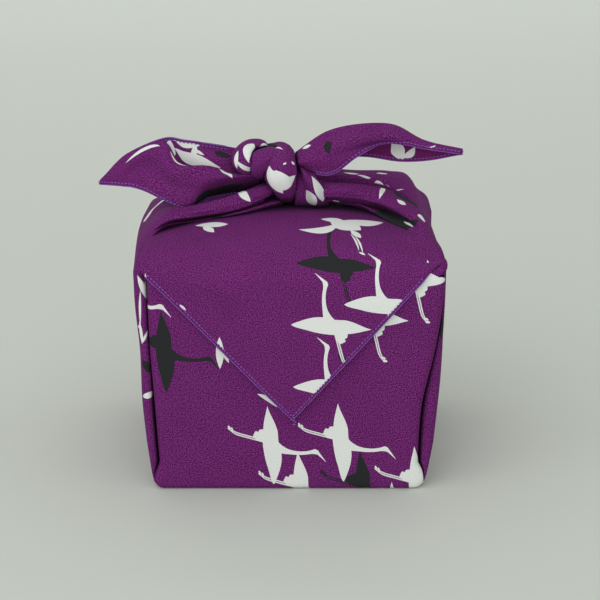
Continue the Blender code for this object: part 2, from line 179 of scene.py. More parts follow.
RIGHT_TAIL = lines_table(
    TAIL_STATIONS,
    (3.1, -5, 136.2, 18.6, -9, 133.7, 31.7, -9.5, 142.7,
     46.2, -8, 147.9, 61.8, -5, 144.6, 78.9, -2.4, 141.7),
    (3.6, -8, 138.8, 19.4, -11, 142.4, 32.5, -11, 148.4,
     46.1, -9, 151.9, 61.8, -4.6, 146.6, 78.9, -2.4, 143.1),
    (2.7, -2, 142, 17.2, -4, 152.3, 33.1, -3, 155.6,
     47.2, -2.5, 155.2, 61, -1.5, 148, 79, -0.6, 143.8),
    (3.1, 2, 139.2, 20.1, 3, 145.3, 34.8, 4, 147.8,
     48.1, 4, 146.2, 60.9, 2.5, 142.8, 77.8, 1.2, 142.2),
    (3.6, 3, 135.1, 21.1, 4, 138.2, 35.8, 5, 138.4,
     50.1, 4.5, 136.6, 62.9, 3.2, 137.4, 77.9, 1.6, 140.7),
)

# The loose fold of the right side's cloth below the knot: four long lines, from under the knot out
# and back in.
STRIP = lines_table(
    STRIP_STATIONS,
    (3.1, -4, 136.4, 2.9, -7, 131.6, 2.4, -8, 125.2, 2, -6, 119, 2.2, 3, 114.6),
    (3.8, -5, 136.4, 5, -8, 131.8, 6.6, -8, 126.2, 7.2, -6, 119, 7.3, 4, 114.1),
    (4.7, -7, 136.7, 7.5, -11, 132.6, 10.4, -12, 127.2, 11.8, -9, 119.6, 11.9, 4, 114.3),
    (6.8, -5, 135.7, 11.8, -8, 132.3, 15.2, -8, 126.6, 17.6, -4, 119.2, 17, 6, 114.8),
)

# The knot's turns: the point each is wound round, its folds (count, start, drift, height), and its
# path as rows of x, y, z, and half width and half depth of the gathered cloth.
KNOT_TURNS = {
    "round_turn": (
        (-4, 0, 132),
        [(5, 0.4, 1.2, 0.035), (9, 2.0, -1.5, 0.02)],
        [
            (-5.1, 0, 141.5, 4, 3),
            (-9.6, -6, 141.6, 5.2, 3.8),
            (-13.7, -8.5, 139.9, 5.6, 4.4),
            (-14.8, -8, 136.5, 4.8, 4),
            (-12.9, -4, 132.2, 3, 2.6),
        ],
    ),
    "front_turn": (
        (-4, 0, 132),
        [(6, 1.0, 1.0, 0.035), (11, 0.3, 2.0, 0.015)],
        [
            (-2.8, 3, 142.4, 3.5, 3),
            (-2.6, -4, 142.8, 4.6, 3.6),
            (-3.9, -9, 139.1, 6.8, 4.6),
            (-4.1, -10.5, 133.9, 7.4, 5),
            (-2.6, -9.5, 128, 5.6, 4.6),
            (-1.4, -6.5, 124, 4.3, 3.8),
            (-0.8, -1, 120.4, 3, 3),
        ],
    ),
    "left_band": (
        (-17, 1, 135),
        [(4, 0.6, 0.8, 0.05)],
        [
            (-11.1, 6, 143.8, 4.6, 2.6),
            (-17.5, 1, 145, 4.6, 2.6),
            (-21.2, -6, 144, 4.6, 2.5),
            (-22, -9.5, 140.6, 4.6, 2.4),
            (-20.5, -9, 136.8, 4.2, 2.4),
            (-16.5, -5, 133.2, 3.4, 2.2),
        ],
    ),
    "back_turn": (
        (-4, 0, 130),
        [(6, 0.2, 1.2, 0.04), (9, 1.4, -1.0, 0.02)],
        [
            (-3, -1, 140.5, 5.0, 3.0),
            (-7, 5, 141.5, 7.2, 3.6),
            (-5, 10.5, 135, 8.0, 5.0),
            (-4, 10, 125, 7.5, 4.6),
            (-8, 5, 118.5, 5.5, 3.5),
        ],
    ),
    "under_turn": (
        (-2, 9, 126),
        [(5, 0.3, 0.6, 0.05)],
        [
            (-22, 3, 121, 3.5, 3.0),
            (-12, 3, 121.5, 4.5, 3.6),
            (0, 3.5, 121, 5.0, 4.0),
            (13, 3.5, 121, 4.6, 3.6),
            (24, 4, 120.5, 3.5, 3.0),
        ],
    ),
    "heart": (
        (-4, 0, 130),
        [(7, 0.0, 1.0, 0.03)],
        [
            (-18, 2, 138, 4.2, 4.6),
            (-12, 2, 137.6, 6.0, 6.0),
            (-5, 0.5, 133, 8.0, 8.0),
            (2, 1, 132, 6.0, 8.6),
            (7, 1, 131, 4.0, 6.0),
        ],
    ),
}


# ---------------------------------------------------------------- curves and sections


def smooth(values, at):
    """Catmull-Rom curve through the rows of values, read at row numbers that may lie between."""
    values = np.asarray(values, float)
    at = np.asarray(at, float)
    last = len(values) - 1
    i = np.clip(np.floor(at).astype(int), 0, last - 1)
    t = (at - i).reshape((-1,) + (1,) * (values.ndim - 1))
    here, there = values[i], values[i + 1]
    inner, outer = (i > 0).reshape(t.shape), (i < last - 1).reshape(t.shape)
    before = np.where(inner, values[np.maximum(i - 1, 0)], 2 * here - there)
    after = np.where(outer, values[np.minimum(i + 2, last)], 2 * there - here)
    return 0.5 * (
        2 * here
        + (there - before) * t
        + (2 * before - 5 * here + 4 * there - after) * t**2
        + (3 * here - before - 3 * there + after) * t**3
    )


def smooth_at(x, xs, ys):
    """Catmull-Rom curve of ys over the rising xs, read at x."""
    return smooth(ys, np.interp(x, xs, np.arange(len(xs))))


def through(rows, steps):
    """Cubic through rows of points, each row placed by its mean distance from the one before.

    Between two rows it is the Hermite cubic whose slopes are those of the parabola through three
    rows. Returns the points at even distances and those distances.
    """
    rows = np.asarray(rows, float)
    gaps = np.linalg.norm(np.diff(rows, axis=0), axis=-1).reshape(len(rows) - 1, -1).mean(axis=1)
    at = np.concatenate([[0], np.cumsum(gaps)])
    slopes = np.gradient(rows, at, axis=0)
    read = np.linspace(0, at[-1], steps + 1)
    i = np.clip(np.searchsorted(at, read, side="right") - 1, 0, len(at) - 2)
    shape = (-1,) + (1,) * (rows.ndim - 1)
    span = (at[i + 1] - at[i]).reshape(shape)
    t = (read - at[i]).reshape(shape) / span
    points = (
        (2 * t**3 - 3 * t**2 + 1) * rows[i]
        + (t**3 - 2 * t**2 + t) * span * slopes[i]
        + (3 * t**2 - 2 * t**3) * rows[i + 1]
        + (t**3 - t**2) * span * slopes[i + 1]
    )
    return points, read


def turn(centre, radius, start, stop, steps):
    """Points of an arc in the plan, between two angles in degrees."""
    angles = np.radians(np.linspace(start, stop, steps + 1))
    return np.stack([centre[0] + radius * np.cos(angles), centre[1] + radius * np.sin(angles)], axis=1)


def line(start, stop, steps):
    return np.linspace(start, stop, steps + 1)


# Steps along a quarter of a wall's section: panel, curl, wing, turn, return, turn, side.
PANEL_STEPS, CURL_STEPS, WING_STEPS, TURN_STEPS, SIDE_STEPS = 22, 5, 8, 5, 26
PANEL_COLUMNS = PANEL_STEPS + 1
PLEAT_COLUMN = PANEL_STEPS + CURL_STEPS + WING_STEPS + TURN_STEPS
FOLD_COLUMN = PLEAT_COLUMN + WING_STEPS + 3


def quarter(z, panel_edge, side_fold, set_back, bulge):
    """Section of one corner at a height: from the panel's middle round the pleat to the side's middle.

    The panel ends in a quarter circle, the wing runs back along the side, turns half round, comes
    forward, turns half round a flattened ellipse as the side's fold, and the side follows with a
    shallow parabolic bulge.
    """
    open_ = np.clip((z - PLEAT_START) / (PLEAT_FULL - PLEAT_START), 0, 1)
    edge = side_fold + (panel_edge - side_fold) * open_
    gap = PLEAT_GAP * open_ * float(1 - PLEAT_SHUT * ramp(z, *PLEAT_SHUTS))
    depth = CURL + open_ * (min(0.95 * z, PLEAT_DEEPEST) - CURL)
    wing = min(edge, side_fold - 2 * gap - max(-1.6 * bulge, 0) * open_)
    back = -PANEL_Y + depth
    front = -PANEL_Y + CURL + (set_back + FOLD_DEPTH - CURL) * open_
    angles = np.radians(np.linspace(180, 360, 2 * TURN_STEPS + 1))[1:]
    inner = wing + gap
    fold = np.stack(
        [
            (inner + side_fold) / 2 + (side_fold - inner) / 2 * np.cos(angles),
            front + FOLD_DEPTH * open_ * np.sin(angles),
        ],
        axis=1,
    )
    pieces = [
        line((0, -PANEL_Y), (edge - CURL, -PANEL_Y), PANEL_STEPS),
        turn((edge - CURL, -PANEL_Y + CURL), CURL, -90, 0, CURL_STEPS)[1:],
        line((wing, min(back, -PANEL_Y + CURL + 5 * open_)), (wing, back), WING_STEPS - 1),
        turn((wing + gap / 2, back), gap / 2, 180, 0, TURN_STEPS)[1:],
        line((inner, back), (inner, front), WING_STEPS)[1:],
        fold,
    ]
    side = line((side_fold, front), (side_fold, 0), SIDE_STEPS)[1:]
    side[:, 0] += bulge * open_ * (1 - (side[:, 1] / PANEL_Y) ** 2)
    return np.concatenate(pieces + [side])


def wall(name, z):
    """A column of the walls' table, read at a height."""
    return float(smooth_at([z], WALLS["z"], WALLS[name])[0])


def section(z):
    """The whole section at a height, from the front's middle to the right and round to it again."""
    hollow = np.interp(z, (HOLLOW_START, WALL_TOP), (SIDE_BULGE, SIDE_HOLLOW))
    right, left = (
        quarter(z, wall(f"panel_{side}", z), wall(f"side_{side}", z), wall(f"set_{side}", z), bulge)
        for side, bulge in (("right", hollow), ("left", SIDE_BULGE))
    )
    half = np.concatenate([right, (right * (1, -1))[-2::-1]])
    other = np.concatenate([left, (left * (1, -1))[-2::-1]]) * (-1, 1)
    return np.concatenate([half, other[-2:0:-1]])


def settle(points):
    """Moves points by slow sine waves of their place, so that no panel is dead flat above the foot."""
    x, y, z = np.moveaxis(points, -1, 0)
    rise = np.clip((z - 8) / 30, 0, 1)[..., None]
    wave = np.stack(
        [
            0.7 * np.sin(y / 19 + 0.8) * np.sin(z / 27 + 0.5),
            0.8 * np.sin(x / 21 + 0.4) * np.sin(z / 24 + 1.1),
            0.5 * np.sin(x / 25 + 1.2) * np.sin(y / 22 + 0.3),
        ],
        axis=-1,
    )
    return points + rise * wave


def normals_of(grid):
    """Unit cross product of a grid's two directions at each point."""
    along, across = np.gradient(grid, axis=0), np.gradient(grid, axis=1)
    normal = np.cross(across, along)
    return normal / np.maximum(np.linalg.norm(normal, axis=-1, keepdims=True), 1e-9)


def creased(grid, prints, rows):
    """Raises or presses a grid along straight lines of the flat cloth.

    Each row is a line from (u0, v0) to (u1, v1) with a width and a height. The move is along the
    normal: the height times a bell curve of the distance from the line, fading at its two ends.
    """
    moved = np.zeros(grid.shape[:2])
    for u0, v0, u1, v1, width, height in rows:
        start, way = np.array((u0, v0)), np.array((u1 - u0, v1 - v0))
        share = ((prints - start) @ way) / (way @ way)
        off = prints - start - np.clip(share, 0, 1)[..., None] * way
        bell = np.exp(-((np.linalg.norm(off, axis=-1) / width) ** 2))
        fade = np.clip(1 - np.abs(2 * share - 1) ** 3, 0, 1)
        moved += height * bell * fade
    return grid + normals_of(grid) * moved[..., None]


def ramp(values, start, stop):
    """0 before start, 1 after stop, smooth between."""
    t = np.clip((values - start) / (stop - start), 0, 1)
    return t * t * (3 - 2 * t)


# ---------------------------------------------------------------- the cloth's grids


# Soft creases, as lines of the flat cloth: from (u, v) to (u, v), width and height.
FLAP_CREASES = (
    (-47, 132, -19, 143, 3.2, -0.9),
    (-48, 112, -26, 93, 4.0, 1.2),
    (49, 102, 64, 121, 3.4, 1.0),
)
TAIL_CREASES = {
    "left": (
        (5, 32, 29, 38, 2.0, -1.6),
        (9, 24, 42, 8, 2.4, 1.9),
        (25, 5, 62, 4, 2.6, -1.8),
        (22, 15, 60, 10, 2.2, 1.3),
    ),
    "right": (
        (5, 9.6, 47, 5.6, 1.7, 1.5),
        (12, 3.2, 55, 2.4, 1.9, -1.9),
        (9, 6.4, 41, 8.6, 1.5, -1.0),
        (16, -2, 58, -3, 2.2, 1.5),
    ),
}


def lengths_along(rows):
    """Running length along each row of points."""
    steps = np.linalg.norm(np.diff(rows, axis=1), axis=-1)
    return np.concatenate([np.zeros((len(rows), 1)), np.cumsum(steps, axis=1)], axis=1)


def at_height(points, z):
    return np.column_stack([points, np.full(len(points), z)])


WALL_ROWS = np.concatenate([np.linspace(3.2, 12.5, 6)[:-1], np.linspace(12.5, WALL_TOP, 24)])


SIDE_SHIFT = 300  # from one side's print coordinates to the next side's


def walls():
    """Rounded rim and four walls, from the back's middle round the left, front and right to it again.

    Each side's print is measured from its own middle: the front from 0, left and right from -300
    and 300, the back from 600. They change over inside the pleats.
    """
    rim = section(0)
    rows = []
    for angle in np.radians([0, 18, 36, 54, 72]):
        inset = BOTTOM_ROUND * (1 - math.sin(angle))
        z = BOTTOM_Z + BOTTOM_ROUND * (1 - math.cos(angle))
        rows.append(at_height(rim * (1 - inset / PANEL_Y), z))
    rows += [at_height(section(z), z) for z in WALL_ROWS]
    grid = np.array(rows)
    half = grid.shape[1] // 2
    grid = np.concatenate([grid[:, half:], grid[:, : half + 1]], axis=1)
    u = lengths_along(grid)
    column = np.arange(grid.shape[1]) - half
    front, back = np.abs(column) <= PLEAT_COLUMN, np.abs(column) >= half - PLEAT_COLUMN
    middles = np.select(
        [front, back & (column < 0), back, column < 0], [half, 0, 2 * half, half // 2], half + half // 2
    )
    shifts = np.select([front, back, column < 0], [0, 2 * SIDE_SHIFT, -SIDE_SHIFT], SIDE_SHIFT)
    u = u - u[:, middles] + shifts
    v = grid[..., 2]
    return grid, np.stack([u, v], axis=-1)


def bottom(rim):
    """Flat sheet under the box: the rim's points drawn in to the middle in even rings."""
    middle = np.array((0, 0, rim[0, 2]))
    shares = np.linspace(1, 0.002, 6)[:, None, None]
    grid = middle + (rim - middle) * shares
    return grid, grid[..., :2].copy()


def columns_of_panel(row, side):
    """The part of a wall section that is the flat panel: 'front' or 'back', in rising x."""
    half = len(row) // 2
    if side == "front":
        return np.concatenate([row[-PANEL_STEPS:], row[:PANEL_COLUMNS]])
    return row[half - PANEL_STEPS : half + PANEL_STEPS + 1][::-1]


def columns_of_side(row, side):
    """The part of a wall section that is a side's outer layer with its two folds, front to back."""
    half = len(row) // 2
    if side == "right":
        return row[FOLD_COLUMN : half - FOLD_COLUMN + 1]
    return row[half + FOLD_COLUMN : len(row) - FOLD_COLUMN + 1][::-1]


def across(row, left, right, y, z, sag=0.0, droop=0.0):
    """A row of points from x = -left to right with the spacing of a panel's own row.

    Its height falls by the sag at both ends, as a parabola, and by the droop at the right end.
    """
    share = (row[:, 0] - row[0, 0]) / (row[-1, 0] - row[0, 0])
    x = -left + (left + right) * share
    z = z - sag * (2 * share - 1) ** 2 - droop * ramp(share, 0.8, 1.0)
    return np.column_stack([x, np.full(len(x), y), z])


def turned(y, radius, angle):
    """Point of an arc about a top edge's centre line; a negative radius lies to the front."""
    return y + radius * math.cos(angle), EDGE_Z + abs(radius) * math.sin(angle)


def with_prints(rows, steps):
    """A grid through rows, with x and the distance along as its print coordinates."""
    grid, along = through(rows, steps)
    return grid, np.stack([grid[..., 0], np.broadcast_to(along[:, None], grid.shape[:2])], axis=-1)


NEAR_STEPS, FAR_STEPS = 44, 110
NEAR_POINT_SHARES = (0.17, 0.4, 0.63, 0.83, 0.97)  # heights down the near corner's point


def near_corner(row):
    """From the front panel over the top, and down inside the back as a point."""
    rows = [row]
    for y, z, left, right in zip(*NEAR_TOP.values()):
        rows.append(across(row, left, right, y, z))
    for angle in np.radians([90, 45, 0]):
        y, z = turned(NEAR_BACK, NEAR_RADIUS, angle)
        rows.append(across(row, NEAR_HALF, NEAR_HALF, y, z))
    for share in NEAR_POINT_SHARES:
        z = EDGE_Z - NEAR_POINT * share
        half = NEAR_HALF * (1 - share)
        rows.append(across(row, half, half, NEAR_BACK + NEAR_RADIUS, z))
    return with_prints(rows, NEAR_STEPS)


FLAP_HEIGHTS = (92.0, 82.0, 70.0, 58.0, 46.0, 40.0, 36.0, 33.9)


def hem_x(corner, z):
    """Where the straight hem from a corner of the flap to its tip is at a height."""
    share = (z - FLAP_TIP[1]) / (corner[1] - FLAP_TIP[1])
    return FLAP_TIP[0] + (corner[0] - FLAP_TIP[0]) * share


def far_corner(row):
    """From the back panel over the top, and down the front as the pointed flap."""
    radius = UNDER_TOP_Z + LAYER - EDGE_Z
    rows = [row]
    for angle in np.radians([10, 45, 90]):
        y, z = turned(PANEL_Y - radius, radius, angle)
        rows.append(across(row, PANEL_Y, PANEL_Y, y, z))
    for y, z, left, right, sag, droop in zip(*FAR_TOP.values()):
        rows.append(across(row, left, right, y, z, sag, droop))
    for z in FLAP_HEIGHTS:
        y = -PANEL_Y - LAYER - FLAP_LIFT * ramp(95 - z, 0, 60)
        rows.append(across(row, -hem_x(FLAP_LEFT, z), hem_x(FLAP_RIGHT, z), y, z))
    return with_prints(rows, FAR_STEPS)


WING_REACH_IN, WING_INSET, WING_TAPER, WING_COLUMNS = 56, 1.2, 2.4, 17


def hidden_wings(grid, start, stop, drop):
    """The side wings of a layer on the top, folded under it to the middle, and narrowing with it."""
    span = grid[start:stop]
    share = np.linspace(0, 1, len(span))[:, None]
    reach = WING_REACH_IN * np.clip(WING_TAPER * (1 - share), 0.05, 1)
    wings = []
    for edge, way in ((0, 1), (-1, -1)):
        out = np.linspace(0, 1, WING_COLUMNS)[None, :]
        x = span[:, edge, 0][:, None] + way * (WING_INSET + reach * out)
        y = np.broadcast_to(span[:, edge, 1][:, None], x.shape)
        z = span[:, edge, 2][:, None] - drop * (1 + 0.12 * np.sin(x / 9) * np.sin(y / 11))
        wing = np.stack([x, y, z], axis=-1)
        wings.append((wing, np.stack([way * (BOX_WIDTH - x), y], axis=-1)))
    return wings


GUSSET_OVERLAP, GUSSET_DIP, GUSSET_ROWS = 3, 2.2, 14
NEAR_EDGE_ROWS, FAR_EDGE_ROWS, SIDE_EDGE_ROWS = 5, 7, 6  # rows of each grid that a gusset joins


def gusset(panel_edge, side_edge):
    """The pleat's cloth above a corner: lines from the panel's edge to the side's, sunk inwards.

    Both edges start a little lower, inside the pleat, and the dip is a half sine that deepens upwards.
    """
    panel_edge, side_edge = (
        smooth(
            np.concatenate([edge[:1] - (0, 0, GUSSET_OVERLAP), edge]), np.linspace(0, len(edge), GUSSET_ROWS)
        )[:, None]
        for edge in (panel_edge, side_edge)
    )
    share = np.linspace(0, 1, 12)[None, :, None]
    grid = panel_edge * (1 - share) + side_edge * share
    outwards = grid * (1, 1, 0) / np.linalg.norm(grid[..., :2], axis=-1, keepdims=True)
    deepening = np.linspace(0.3, 1, GUSSET_ROWS)[:, None, None]
    grid = grid - outwards * GUSSET_DIP * np.sin(math.pi * share) * deepening
    turned_in = (normals_of(grid) * outwards).sum() < 0
    return grid, np.stack([lengths_along(grid), grid[..., 2]], axis=-1) + (900, 0), turned_in


def inner_folds(grid, prints, share):
    """A strand's inner layer: drawn in to a point below its middle, short of its edges and ends.

    Every second row and column is kept, because it only shows between the outer folds.
    """
    rows, columns = grid.shape[:2]
    middle = grid.mean(axis=1, keepdims=True)
    middle[..., 2] = grid[..., 2].min(axis=1, keepdims=True) - 2
    kept = np.s_[rows // 9 : -2 : 2, columns // 20 : -columns // 20 : 2]
    return (grid + (middle - grid) * share)[kept], prints[kept] + (0, 900)


def fold_points(folds, stations):
    """(fold, station, xyz) of a table of folds."""
    return np.stack(
        [np.column_stack([folds[f"{axis}{i}"] for axis in "xyz"]) for i in range(stations)], axis=1
    )


STRAND_COLUMNS, STRAND_STEPS = 111, 50


def gathered_side(row, folds):
    """From a side's outer layer over the top edge, narrowing in its folds to the knot."""
    lines = fold_points(folds, FOLD_STATIONS)
    share = np.linspace(0, 1, STRAND_COLUMNS)
    row = smooth(row, np.linspace(0, len(row) - 1, len(share)))
    place = np.interp(share, folds["across"], np.arange(len(lines)))
    stations = [row] + [smooth(lines[:, i], place) for i in range(FOLD_STATIONS)]
    lean = (np.array(stations[1]) - row) * (0.35, 0.3, 0.62)
    stations.insert(1, row + lean)
    grid, along = through(stations, STRAND_STEPS)
    u = lengths_along(grid)
    return grid, np.stack([u, np.broadcast_to(along[:, None], u.shape)], axis=-1)


def gathers(grid, prints):
    """Height of a strand's fine gathers: two sine waves across it, strongest short of the knot."""
    share = np.linspace(0, 1, grid.shape[1])[None, :]
    length = prints[:, :1, 1] / prints[..., 1].max()
    pull = ramp(length, 0.1, 0.6) * (1 - ramp(length, 0.93, 1.0))
    return pull * (0.12 * np.sin(58 * share + 1.3 + 5 * length) + 0.08 * np.sin(91 * share + 4 * length))


def tail(lines, stations, wide, long):
    """A free end: a sheet through its long lines, (along, across)."""
    points = fold_points(lines, stations)
    columns, over = through(points, wide)
    grid, along = through(columns.transpose(1, 0, 2), long)
    u = np.broadcast_to(along[:, None], grid.shape[:2])
    v = lengths_along(grid)
    return grid, np.stack([u, v - v[:, wide // 2, None] + over[wide // 2]], axis=-1)


def gathered_turn(path, wound_round, folds, around=40, along=30):
    """One turn of the knot: a flattened bundle along a path, (along, around), closed at both ends.

    Its section is an ellipse whose radius rises and falls with the folds: each is a cosine of the
    angle with its own count, start, drift along the turn and height.
    """
    rows = smooth(path, np.linspace(0, len(path) - 1, along + 1))
    centre = rows[:, :3]
    forward = np.gradient(centre, axis=0)
    forward /= np.linalg.norm(forward, axis=1)[:, None]
    out = centre - np.array(wound_round) + (0, 0, 0.01)
    out -= (out * forward).sum(axis=1)[:, None] * forward
    out /= np.maximum(np.linalg.norm(out, axis=1), 1e-6)[:, None]
    side = np.cross(forward, out)
    angles = np.linspace(0, 2 * math.pi, around + 1)
    share = np.linspace(0, 1, along + 1)[:, None]
    height = 1 + sum(h * np.cos(n * angles + start + drift * share) for n, start, drift, h in folds)
    height = height * np.sqrt(np.clip(1 - np.abs(2 * share - 1) ** 14, 0.001, 1))
    grid = (
        centre[:, None]
        + (rows[:, 3, None] * np.cos(angles) * height)[..., None] * side[:, None]
        + (rows[:, 4, None] * np.sin(angles) * height)[..., None] * out[:, None]
    )
    length = lengths_along(grid.transpose(1, 0, 2))[around // 4]
    u = np.broadcast_to(length[:, None], grid.shape[:2])
    return grid, np.stack([u, lengths_along(grid)], axis=-1)


# ---------------------------------------------------------------- meshes


class Patchwork:
    """Grids collected into one mesh, each with its finish and print coordinates."""

    def __init__(self):
        self.points, self.faces, self.prints, self.finish = [], [], [], []
        self.count = 0

    def add(self, grid, prints, finish, flip=False):
        rows, columns = grid.shape[:2]
        first = self.count + np.arange(rows * columns).reshape(rows, columns)
        corners = [first[:-1, :-1], first[:-1, 1:], first[1:, 1:], first[1:, :-1]]
        if flip:
            corners = corners[::-1]
        self.points.append(grid.reshape(-1, 3))
        self.prints.append(prints.reshape(-1, 2))
        self.faces.append(np.stack(corners, axis=-1).reshape(-1, 4))
        self.finish.append(np.full((rows - 1) * (columns - 1), finish))
        self.count += rows * columns

    def mesh(self, name, finishes):
        points, faces = np.concatenate(self.points), np.concatenate(self.faces)
        prints, finish = np.concatenate(self.prints), np.concatenate(self.finish)
        made = bpy.data.meshes.new(name)
        made.from_pydata(points * MM, [], faces.tolist())
        layer = made.uv_layers.new(name="print")
        layer.data.foreach_set("uv", (prints[faces.reshape(-1)] * MM).reshape(-1).astype(np.float32))
        made.polygons.foreach_set("material_index", finish.astype(np.int32))
        made.polygons.foreach_set("use_smooth", np.ones(len(faces), bool))
        for material in finishes:
            made.materials.append(material)
        work = bmesh.new()
        work.from_mesh(made)
        bmesh.ops.remove_doubles(work, verts=work.verts, dist=0.02 * MM)
        bmesh.ops.dissolve_degenerate(work, edges=work.edges, dist=0.005 * MM)
        work.to_mesh(made)
        work.free()
        return made


def placed(name, mesh):
    made = bpy.data.objects.new(name, mesh)
    bpy.context.scene.collection.objects.link(made)
    return made


def bake_modifiers(made):
    """Puts the result of an object's modifiers into its mesh."""
    graph = bpy.context.evaluated_depsgraph_get()
    mesh = bpy.data.meshes.new_from_object(made.evaluated_get(graph))
    made.modifiers.clear()
    made.data = mesh


def joined(target, other):
    """Adds another object's mesh to the target's; both have the same list of finishes."""
    work = bmesh.new()
    work.from_mesh(target.data)
    work.from_mesh(other.data)
    work.to_mesh(target.data)
    work.free()
    bpy.data.objects.remove(other)


# ---------------------------------------------------------------- node building


class Nodes:
    """Short words for making a node tree."""

    def __init__(self, tree):
        self.tree = tree
        tree.nodes.clear()

    def put(self, socket, value):
        if isinstance(value, bpy.types.NodeSocket):
            self.tree.links.new(value, socket)
        else:
            socket.default_value = value

    def add(self, kind, inputs=None, **settings):
        node = self.tree.nodes.new(kind)
        for key, value in settings.items():
            setattr(node, key, value)
        for key, value in (inputs or {}).items():
            self.put(node.inputs[key], value)
        return node

    def math(self, operation, *values):
        node = self.add("ShaderNodeMath", operation=operation)
        for socket, value in zip(node.inputs, values):
            self.put(socket, value)
        return node.outputs[0]

    def most(self, masks):
        """The largest of several masks."""
        found = masks[0]
        for mask in masks[1:]:
            found = self.math("MAXIMUM", found, mask)
        return found

    def between(self, value, low, high):
        """1 where a value lies between two others."""
        above = self.math("GREATER_THAN", value, low)
        return self.math("MULTIPLY", above, self.math("LESS_THAN", value, high))

    def curve(self, value, points):
        """A smooth curve through (x, y) points between 0 and 1."""
        node = self.add("ShaderNodeFloatCurve", {"Value": value})
        curve = node.mapping.curves[0]
        for i, (x, y) in enumerate(points):
            if i < 2:
                curve.points[i].location = (x, y)
            else:
                curve.points.new(x, y)
        node.mapping.update()
        return node.outputs[0]

    def mix(self, share, one, other):
        node = self.add("ShaderNodeMix", data_type="RGBA")
        self.put(node.inputs[0], share)
        self.put(node.inputs[6], one)
        self.put(node.inputs[7], other)
        return node.outputs[2]

    def noise(self, vector, scale, detail=2.0, roughness=0.5):
        inputs = {"Vector": vector, "Scale": scale, "Detail": detail, "Roughness": roughness}
        return self.add("ShaderNodeTexNoise", inputs).outputs["Fac"]


def group(name, inputs, outputs):
    """A shader node group with its sockets: (Nodes, input sockets by name, output node)."""
    tree = bpy.data.node_groups.new(name, "ShaderNodeTree")
    for socket, kind, value in inputs:
        made = tree.interface.new_socket(socket, in_out="INPUT", socket_type=kind)
        if value is not None:
            made.default_value = value
    for socket, kind in outputs:
        tree.interface.new_socket(socket, in_out="OUTPUT", socket_type=kind)
    nodes = Nodes(tree)
    start, end = nodes.add("NodeGroupInput"), nodes.add("NodeGroupOutput")
    return tree, nodes, start.outputs, end.inputs


# A crane's outline, in lengths of the crane from its middle: u to the beak, v to its left wing.
# It was traced from an existing crane, so an own drawing has to take its place before it is reused.
# Along the flight, u + BODY_BACK is 0 to 1; the upper and lower edges of tail, neck and beak.
BODY_LINE = table(
    "along upper lower",
    (0.250, 0.030, 0.030),
    (0.262, 0.062, 0.018),
    (0.285, 0.088, 0.006),
    (0.301, 0.080, -0.004),
    (0.318, 0.102, -0.012),
    (0.345, 0.106, -0.020),
    (0.380, 0.100, -0.036),
    (0.420, 0.080, -0.060),
    (0.480, 0.004, -0.112),
    (0.520, -0.038, -0.134),
    (0.560, -0.070, -0.141),
    (0.620, -0.100, -0.147),
    (0.700, -0.116, -0.153),
    (0.780, -0.116, -0.150),
    (0.840, -0.105, -0.143),
    (0.868, -0.097, -0.145),
    (0.895, -0.105, -0.151),
    (0.915, -0.131, -0.167),
    (0.945, -0.172, -0.193),
    (0.980, -0.222, -0.227),
)
LEG_LINE = table(
    "along middle", (0.00, 0.125), (0.03, 0.103), (0.06, 0.078), (0.10, 0.060), (0.20, 0.032), (0.36, -0.012)
)
BODY_BACK, BODY_LOW, BODY_SPAN = 0.42, -0.30, 0.5
BODY_START, BODY_END = 0.25, 0.98
LEG_APART, LEG_HALF, LEG_ROOT = 0.019, 0.0125, 0.37
# Across the wings, (v - WING_LOW) / WING_REACH is 0 to 1; their back and front edges.
WING_LINE = table(
    "across back front",
    (-0.450, 0.030, 0.034),
    (-0.420, 0.012, 0.050),
    (-0.370, -0.004, 0.070),
    (-0.300, -0.022, 0.094),
    (-0.230, -0.042, 0.110),
    (-0.160, -0.057, 0.114),
    (-0.100, -0.066, 0.106),
    (-0.040, -0.072, 0.090),
    (0.020, -0.070, 0.083),
    (0.080, -0.066, 0.080),
    (0.150, -0.060, 0.060),
    (0.210, -0.050, 0.034),
    (0.270, -0.036, 0.006),
    (0.310, -0.027, -0.010),
    (0.335, -0.021, -0.018),
)
WING_LOW, WING_REACH, WING_BACK, WING_SPAN = -0.50, 0.90, -0.15, 0.30
WING_TIPS = (-0.45, 0.335)


